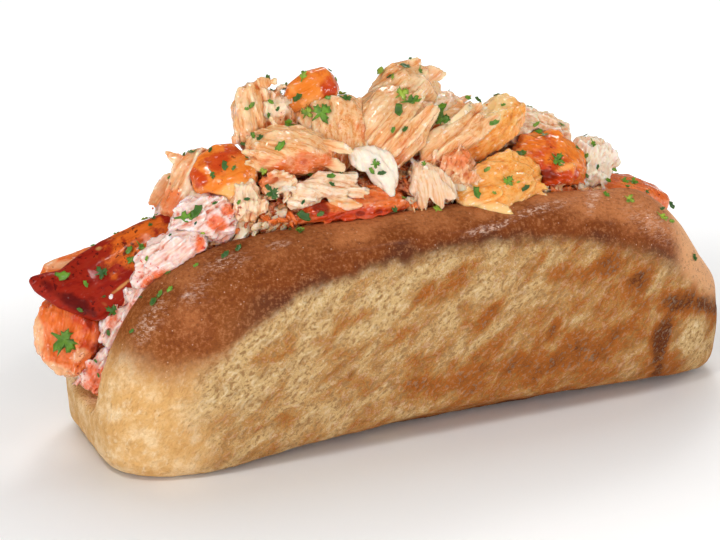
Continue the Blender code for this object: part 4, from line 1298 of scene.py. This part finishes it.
def strewing_tree():
    """Geometry nodes that strew a shape over a surface, where its mask lets them."""
    tree, given, result = new_group(
        "strewing",
        (("Geometry", "Geometry", None), ("Shape", "Object", None), ("Finish", "Material", None),
         ("Density", "Float", None), ("Seed", "Int", None), ("Tilt", "Float", None)),
        (("Geometry", "Geometry"),), "GeometryNodeTree")

    def chance(low, high, seed):
        """A random number for each point, or a random vector between two."""
        kind, first, output = ("FLOAT_VECTOR", 0, 0) if isinstance(low, tuple) else ("FLOAT", 2, 1)
        inputs = {first: low, first + 1: high, "Seed": seed}
        return value_of(tree, "FunctionNodeRandomValue", inputs, output, data_type=kind)

    bare = value_of(tree, "GeometryNodeInputNamedAttribute", {"Name": "bare"}, data_type="FLOAT")
    spread = values_of(put(tree, "GeometryNodeDistributePointsOnFaces", {
        "Mesh": given["Geometry"], "Density": given["Density"] * bare, "Seed": given["Seed"]}))
    stood = value_of(tree, "FunctionNodeAlignRotationToVector", {"Vector": spread["Normal"]}, axis="Z")
    spin = value_of(tree, "ShaderNodeCombineXYZ", {
        0: chance(-1.0, 1.0, 3) * given["Tilt"], 1: chance(-1.0, 1.0, 4) * given["Tilt"],
        2: chance(0.0, 6.283, 5)})
    turned = value_of(tree, "FunctionNodeRotateRotation", {"Rotation": stood, "Rotate By": spin},
                      rotation_space="LOCAL")
    shape = value_of(tree, "GeometryNodeObjectInfo", {"Object": given["Shape"]}, "Geometry")
    laid = value_of(tree, "GeometryNodeInstanceOnPoints", {
        "Points": spread["Points"], "Instance": shape, "Rotation": turned,
        "Scale": chance((0.65, 0.65, 0.65), (1.25, 1.25, 1.25), 6)})
    tinted = value_of(tree, "GeometryNodeStoreNamedAttribute", {
        "Geometry": laid, "Name": "blush", "Value": chance(-0.1, 0.7, 7)},
        domain="INSTANCE", data_type="FLOAT")
    real = value_of(tree, "GeometryNodeRealizeInstances", {"Geometry": tinted})
    dressed = value_of(tree, "GeometryNodeSetMaterial", {"Geometry": real, "Material": given["Finish"]})
    fill(result, {"Geometry": dressed})
    return tree


def strewn(name, tree, ground, shape, finish, density, seed, tilt=0.5):
    """A mesh of a shape strewn over a ground."""
    item = new_object(name, ground.data.copy())
    grower = item.modifiers.new("strewing", "NODES")
    grower.node_group = tree
    values = {"Shape": shape, "Finish": finish, "Density": density / MM ** 2, "Seed": seed, "Tilt": tilt}
    for socket in tree.interface.items_tree:
        if socket.in_out == "INPUT" and socket.name in values:
            grower[socket.identifier] = values[socket.name]
    item.update_tag()
    return baked(item)


# Ground counts as covered when a piece this near stands this far over it, or if it faces down.
COVER_REACH = 1.6
COVER_DEPTH = 0.5
DOWNWARD = -0.5


def make_shreds(core, cuts, finishes):
    """Loose shreds over the core, wherever no larger piece lies on it."""
    cover = surface_of(cuts)
    mesh = core.data
    places, normals = get_points(mesh), get_normals(mesh)
    bare = np.zeros(len(places))
    for index, (place, normal) in enumerate(zip(places, normals)):
        near, _, _, _ = cover.find_nearest(Vector(place), COVER_REACH * MM)
        inside = near is not None and (Vector(place) - near).dot(Vector(normal)) < -COVER_DEPTH * MM
        bare[index] = 0.0 if inside or normal[2] < DOWNWARD else 1.0
    set_mask(mesh, "bare", bare)
    tree = strewing_tree()
    for seed, (name, (length, width, thick, curl, density, finish)) in enumerate(SHREDS.items()):
        shape = shred_shape(name + "_shape", length, width, thick, curl, seed)
        item = strewn("loose_" + name, tree, core, shape, finishes[finish], density, seed + 11)
        bpy.data.objects.remove(shape)
        finished(item, [], finishes[finish])


# --- parsley ---------------------------------------------------------------------
# Flakes that show, by node: kind, right, up, length in millimetres, heading in degrees.
PARSLEY = {
    "claw": (("scrap", -0.62, -0.19, 3.9, 15), ("leaf", -0.14, -0.13, 3.4, 20),
        ("scrap", -0.33, -0.34, 1.9, -60), ("scrap", 0.19, 0.29, 2.2, 60),
        ("sprig", 0.33, 0.37, 2.8, -50), ("scrap", -0.4, -0.82, 1.6, -30), ("scrap", 0.4, 0.14, 1.2, 80)),
    "claw_root": (("leaf", -0.11, -0.13, 7.2, -35),),
    "knuckle_low": (("leaf", -0.53, 0.21, 3.2, 50), ("scrap", -0.68, -0.45, 1.6, -80),
        ("scrap", 0.14, -0.39, 1.4, 40)),
    "knuckle_end": (("scrap", -0.16, -0.15, 1.3, -60), ("scrap", -0.28, 0.4, 1.1, -50)),
    "knuckle_mid": (("scrap", -0.77, -1.14, 0.8, 0), ("scrap", 0.89, 0.8, 1.1, 0),
        ("scrap", 0.7, 1.1, 1.0, 60)),
    "knuckle_high": (("sprig", -0.58, 0.02, 4.6, 8), ("scrap", -0.19, 0.27, 3.6, 48),
        ("scrap", 0.35, 0.59, 1.3, 30)),
    "shoulder_flakes": (("sprig", 0.89, 0.26, 2.4, -60), ("scrap", 0.85, 0.92, 1.5, 70)),
    "tail_cap": (("scrap", 0.04, 0.22, 2.4, -80), ("scrap", 0.31, 0.15, 1.5, 60)),
    "crumb_knob": (("scrap", -0.48, -0.02, 1.3, 60), ("scrap", -0.02, 0.11, 1.5, 10)),
    "tail_slab": (("leaf", -0.61, -0.85, 2.3, 10), ("scrap", -0.24, 0.14, 3.0, 50),
        ("scrap", -0.68, 0.46, 1.9, 40), ("scrap", -0.83, 0.54, 1.9, -70),
        ("scrap", -1.05, 0.22, 1.5, -10)),
    "tail_tuft": (("scrap", 0.02, 0.34, 1.9, 50), ("scrap", -0.25, 0.22, 1.3, 0),
        ("scrap", 0.91, 0.0, 1.6, -80)),
    "tail_rough": (("scrap", 0.19, 0.33, 1.3, 60), ("scrap", -0.12, 0.58, 1.6, -30),
        ("sprig", 0.6, -0.22, 5.2, -38)),
    "tail_block": (("sprig", -0.28, 0.62, 3.2, 75), ("scrap", -0.46, -0.26, 2.8, 35),
        ("scrap", 0.68, -0.26, 2.0, -5)),
    "tail_flakes": (("leaf", -0.22, 0.52, 5.6, 40), ("leaf", -0.6, 0.52, 3.4, 60),
        ("sprig", 0.42, 0.92, 3.2, -10)),
    "snippet": (("leaf", -0.27, -0.59, 3.6, -60), ("scrap", -0.47, -0.25, 2.0, -40),
        ("scrap", 0.19, -1.75, 1.7, 30)),
    "curl": (("scrap", 0.3, 0.3, 1.6, -30), ("scrap", -0.3, 0.83, 1.9, 0), ("scrap", 0.27, 0.72, 2.2, 8),
        ("scrap", 0.56, 0.88, 1.6, 40)),
    "rim_skin": (("scrap", -0.79, -0.49, 3.6, -28), ("scrap", -0.52, -0.37, 2.0, 30),
        ("scrap", -0.82, 0.29, 1.3, 60), ("scrap", 0.17, 1.57, 1.2, -50)),
    "flake": (("leaf", 0.03, 0.18, 2.5, 10), ("scrap", -0.09, -0.12, 1.9, -50),
        ("scrap", 0.31, -0.2, 2.0, 10)),
    "crown_front": (("leaf", 0.36, 0.8, 3.9, 35), ("sprig", 0.57, 0.63, 4.6, 15),
        ("scrap", 0.29, 0.39, 3.4, -78), ("scrap", 0.14, -0.07, 1.7, 60),
        ("scrap", 0.43, -0.05, 1.8, 40)),
    "fan_top": (("leaf", 0.19, 0.16, 4.8, -12), ("scrap", 0.19, 0.52, 2.9, 28),
        ("scrap", 1.59, 0.74, 2.0, -50), ("scrap", 1.21, 0.8, 1.6, -20)),
    "fan_golden": (("scrap", 0.22, 0.16, 2.5, 20), ("scrap", 0.43, 0.68, 1.3, 20)),
    "crumb_mass": (("scrap", 1.85, -0.19, 1.9, 40), ("scrap", 1.35, -1.43, 3.2, -70)),
    "saddle": (("leaf", 0.23, 0.11, 3.3, 60), ("scrap", 0.62, -0.09, 2.3, 38),
        ("scrap", -0.08, -0.26, 1.2, -20), ("scrap", 0.46, 0.11, 1.0, 20)),
    "claw_skin": (("scrap", -0.65, 0.16, 2.8, 12), ("leaf", 0.24, -0.08, 4.2, -40),
        ("scrap", -0.28, 1.16, 2.0, 40), ("scrap", -0.23, 0.88, 2.5, 28)),
    "fluff": (("sprig", 0.0, 0.73, 2.4, -65), ("scrap", -0.29, 0.25, 1.8, 50),
        ("scrap", 0.17, -0.15, 1.5, 70), ("scrap", -0.25, -0.49, 1.5, -60)),
    "end_strip": (("leaf", -0.02, 0.64, 2.6, -20), ("leaf", 0.19, 0.59, 2.6, -15),
        ("scrap", -0.4, 0.69, 1.7, -30), ("scrap", -0.26, 1.21, 1.8, 0)),
    "bun": (("scrap", 0.66, 0.8, 1.9, -40), ("leaf", 0.73, 0.77, 2.9, -30),
        ("scrap", 0.83, 0.71, 1.7, 30), ("scrap", 0.86, 0.73, 2.3, -70), ("sprig", 0.83, 0.66, 3.4, -35),
        ("scrap", 0.86, 0.63, 1.8, 0), ("scrap", 0.93, 0.4, 2.0, -70), ("leaf", 0.14, 0.71, 2.6, 70),
        ("scrap", 0.01, 0.71, 2.0, -60), ("scrap", -0.28, 0.58, 2.0, 10), ("scrap", -0.47, 0.46, 2.0, 60),
        ("scrap", -0.51, 0.42, 2.2, 50), ("scrap", -0.6, 0.35, 1.4, 50), ("scrap", -0.68, 0.2, 1.8, 50),
        ("scrap", -0.71, 0.17, 2.0, 60), ("scrap", -0.73, 0.12, 2.4, 60)),
}


# The outlines of a leaf, a sprig and a scrap, one unit long, as places along and across.
PARSLEY_SHAPES = {
    "leaf": ((-0.46, -0.02), (-0.14, -0.07), (-0.20, -0.26), (-0.08, -0.44), (0.01, -0.34), (0.10, -0.42),
             (0.10, -0.24), (0.17, -0.10), (0.24, -0.24), (0.33, -0.20), (0.36, -0.08), (0.50, -0.03),
             (0.38, 0.04), (0.42, 0.17), (0.28, 0.15), (0.24, 0.26), (0.14, 0.11), (0.08, 0.26),
             (0.12, 0.42), (-0.01, 0.36), (-0.10, 0.46), (-0.14, 0.28), (-0.26, 0.26), (-0.15, 0.08),
             (-0.46, 0.03)),
    "sprig": ((-0.5, -0.04), (-0.15, -0.06), (0.0, -0.22), (0.16, -0.26), (0.14, -0.12), (0.34, -0.20),
              (0.5, -0.08), (0.36, -0.02), (0.46, 0.10), (0.30, 0.22), (0.14, 0.08), (0.10, 0.26),
              (-0.08, 0.22), (-0.14, 0.06), (-0.5, 0.03)),
    "scrap": ((-0.5, -0.10), (-0.22, -0.22), (0.10, -0.26), (0.36, -0.16), (0.5, 0.02), (0.30, 0.12),
              (0.18, 0.28), (-0.06, 0.20), (-0.30, 0.26), (-0.42, 0.10)),
}
LEAF_THICKNESS = 0.07
# Loops of a leaf from its underside over its edge: size, side and crest.
LEAF_LOOPS = ((0.15, -1, 0.3), (0.6, -1, 0.4), (1.0, 0, 0.8), (0.6, 1, 0.6), (0.15, 1, 0.3))


def add_leaf(gather, kind, place, facing, ahead, length, dice):
    """One curled scrap of leaf, of even thickness, lying on its place."""
    out = facing.normalized()
    ahead = (ahead - out * ahead.dot(out)).normalized()
    side = out.cross(ahead)
    outline = [Vector((x * dice.uniform(0.9, 1.1), y * dice.uniform(0.8, 1.2), 0))
               for x, y in PARSLEY_SHAPES[kind]]
    curl, fold = dice.uniform(0.1, 0.8), dice.uniform(0.4, 1.3)

    def laid(spot, lift):
        rise = curl * spot.x * spot.x + fold * abs(spot.y) * 0.5
        return place + (ahead * spot.x + side * spot.y + out * rise) * length * MM + out * lift

    tint = dice.random()
    loops = [[laid(spot * size, face * LEAF_THICKNESS * MM) for spot in outline]
             for size, face, _ in LEAF_LOOPS]
    grains = [[spot * size * length * MM for spot in outline] for size, _, _ in LEAF_LOOPS]
    crests = [[level] * len(outline) for _, _, level in LEAF_LOOPS]
    gather.add_loops(loops, grains, crests, tint)


def parsley_finish():
    made, tree, shader, place = new_material("parsley")
    tint, edge = masks(tree, "blush crest")
    veins = noise(stretched(mask(tree, "grain", "Vector"), (0.5, 2.0, 1.0)), 0.5, 2.0)
    green = layered(
        (0.016, 0.070, 0.003),
        (tint.step(0.1, 0.75), (0.130, 0.290, 0.008)),
        (tint.step(0.80, 0.98), (0.34, 0.46, 0.03)),
        (noise(place, 1.6).step(0.4, 0.7, 0.0, 0.7), (0.018, 0.075, 0.006)),
        (edge.step(0.5, 0.9, 0.0, 0.35), (0.17, 0.33, 0.045)))
    fill(shader, {"Base Color": green, "Roughness": 0.38, "Coat Weight": 0.35, "Coat Roughness": 0.15,
                  "Normal": bump(veins, 0.12, 0.8)})
    return made


# Strays over the whole heap, then over its back: how many, across from and to, size from and to.
STRAY_FLECKS = ((42, -14, 19, 0.9, 2.6), (70, 3, 20, 1.3, 3.8))
SKY = 200 * MM
LOWEST_STRAY = 30 * MM
LEAF_LIFT = 0.35
STRAY_LIFT = 0.2


def make_parsley(tree):
    """Parsley where it shows, and small strays all over the top, front and back."""
    gather = Gather()
    dice = random.Random("parsley")
    for node, rows in PARSLEY.items():
        for kind, right, up, length, heading in rows:
            place, facing = spot_in_view(tree, node, right, up)
            facing = facing * 0.7 + VIEW_NEAR + Vector([dice.uniform(-0.3, 0.3) for _ in range(3)])
            place = place + VIEW_NEAR * LEAF_LIFT * MM
            add_leaf(gather, kind, place, facing, view_heading(heading), length, dice)
    low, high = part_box("shredded_meat")
    for count, near, far, small, large in STRAY_FLECKS:
        for _ in range(count):
            above = Vector((dice.uniform(low.x, high.x), dice.uniform(near, far) * MM, SKY))
            place, facing, _, _ = tree.ray_cast(above, Vector((0, 0, -1)))
            if place and place.z > LOWEST_STRAY:
                heading = Vector([dice.uniform(-1, 1) for _ in range(3)])
                kind = dice.choice(("scrap", "sprig", "leaf"))
                place = place + facing * STRAY_LIFT * MM
                add_leaf(gather, kind, place, facing, heading, dice.uniform(small, large), dice)
    return finished(gather.made("parsley_flakes"), [], parsley_finish())


# --- the studio ------------------------------------------------------------------
def floor_finish():
    """A pale floor that glows more the further it lies from the roll, a painted light, plain enough under
    the roll for its shadow to show.
    """
    made, tree, shader, place = new_material("pale_floor")
    away = value_of(tree, "ShaderNodeVectorMath", {0: stretched(place, (11.0, 22.0, 0.0))}, "Value",
                    operation="LENGTH")
    # painted light: the floor's own glow, none near the roll and rising further away
    glow = away.step(1.0, 3.4, 0.0, 0.40)
    fill(shader, {
        "Base Color": mix(noise(place, 300.0, 1.0), (0.94, 0.94, 0.94), (0.925, 0.925, 0.925)),
        "Roughness": 0.7,
        "Emission Color": value_of(tree, "ShaderNodeCombineXYZ", {0: glow, 1: glow, 2: glow}),
        "Emission Strength": 1.0,
    })
    return made


FLOOR_HALF = 3.0
WORLD_STRENGTH = 0.14
SUN_POWER = 1.12
SUN_WIDTH = math.radians(46)
SUN_HEADING = Vector((-0.20, -0.55, -0.85))
LIT_SPOT = (0, 0, 0.035)
# Lamps: name, place, size, power, colour, and whether shiny skins mirror them.
LAMPS = (
    ("key", (-0.34, -0.22, 0.60), 0.09, 1.15, (1.0, 0.97, 0.93), True),
    ("glint_1", (0.25, -0.35, 0.60), 0.035, 0.22, (1, 1, 1), True),
    ("glint_2", (-0.12, -0.62, 0.42), 0.035, 0.22, (1, 1, 1), True),
    ("glint_3", (0.50, -0.22, 0.40), 0.035, 0.22, (1, 1, 1), True),
    ("glint_4", (-0.55, -0.45, 0.35), 0.035, 0.22, (1, 1, 1), True),
    ("back", (0.30, 0.45, 0.55), 0.14, 0.7, (1, 1, 1), True),
    ("fill", (0.05, -0.90, 0.13), 0.6, 3.8, (1, 1, 1), False),
    ("left", (-0.62, -0.30, 0.12), 0.4, 1.7, (1, 1, 1), False),
    ("side", (0.60, -0.10, 0.20), 0.3, 0.7, (1, 1, 1), False),
)


def pointed(item, place, heading):
    """Put a lamp or camera in its place, looking along its heading."""
    item.location = place
    item.rotation_euler = heading.to_track_quat("-Z", "Y").to_euler()
    return item


def make_floor():
    mesh = bpy.data.meshes.new("floor")
    corners = [(x * FLOOR_HALF, y * FLOOR_HALF, 0) for x, y in ((-1, -1), (1, -1), (1, 1), (-1, 1))]
    mesh.from_pydata(corners, [], [(0, 1, 2, 3)])
    mesh.materials.append(floor_finish())
    floor = new_object("floor", mesh)


def make_lights():
    world = bpy.data.worlds.new("studio")
    world.use_nodes = True
    fill(world.node_tree.nodes["Background"], {"Color": (1, 1, 1, 1), "Strength": WORLD_STRENGTH})
    bpy.context.scene.world = world
    sun = bpy.data.lights.new("sky_panel", "SUN")
    sun.energy = SUN_POWER
    sun.angle = SUN_WIDTH
    pointed(new_object("sky_panel", sun), (0, 0, 0), SUN_HEADING).visible_glossy = False
    for name, place, size, power, colour, mirrored in LAMPS:
        lamp = bpy.data.lights.new(name, "AREA")
        lamp.size = size
        lamp.energy = power
        lamp.color = colour
        item = pointed(new_object(name, lamp), place, Vector(LIT_SPOT) - Vector(place))
        item.visible_glossy = mirrored


def make_camera():
    scene = bpy.context.scene
    camera = bpy.data.cameras.new("camera")
    camera.lens = CAMERA_LENS
    camera.sensor_width = CAMERA_SENSOR
    camera.clip_start = 0.01
    scene.camera = pointed(new_object("camera", camera), CAMERA_PLACE, CAMERA_AIM)
    scene.view_settings.view_transform = "Standard"


# --- everything ------------------------------------------------------------------
def build():
    bun = make_bun()
    finishes = {name: flesh_finish(*values) for name, values in LOBSTER.items()}
    cuts = [make_cut(cut, finishes) for cut in CUTS]
    core = make_heap(finishes)
    make_shreds(core, cuts, finishes)
    make_parsley(surface_of(cuts + [core, bun]))
    make_floor()
    make_lights()
    make_camera()


build()
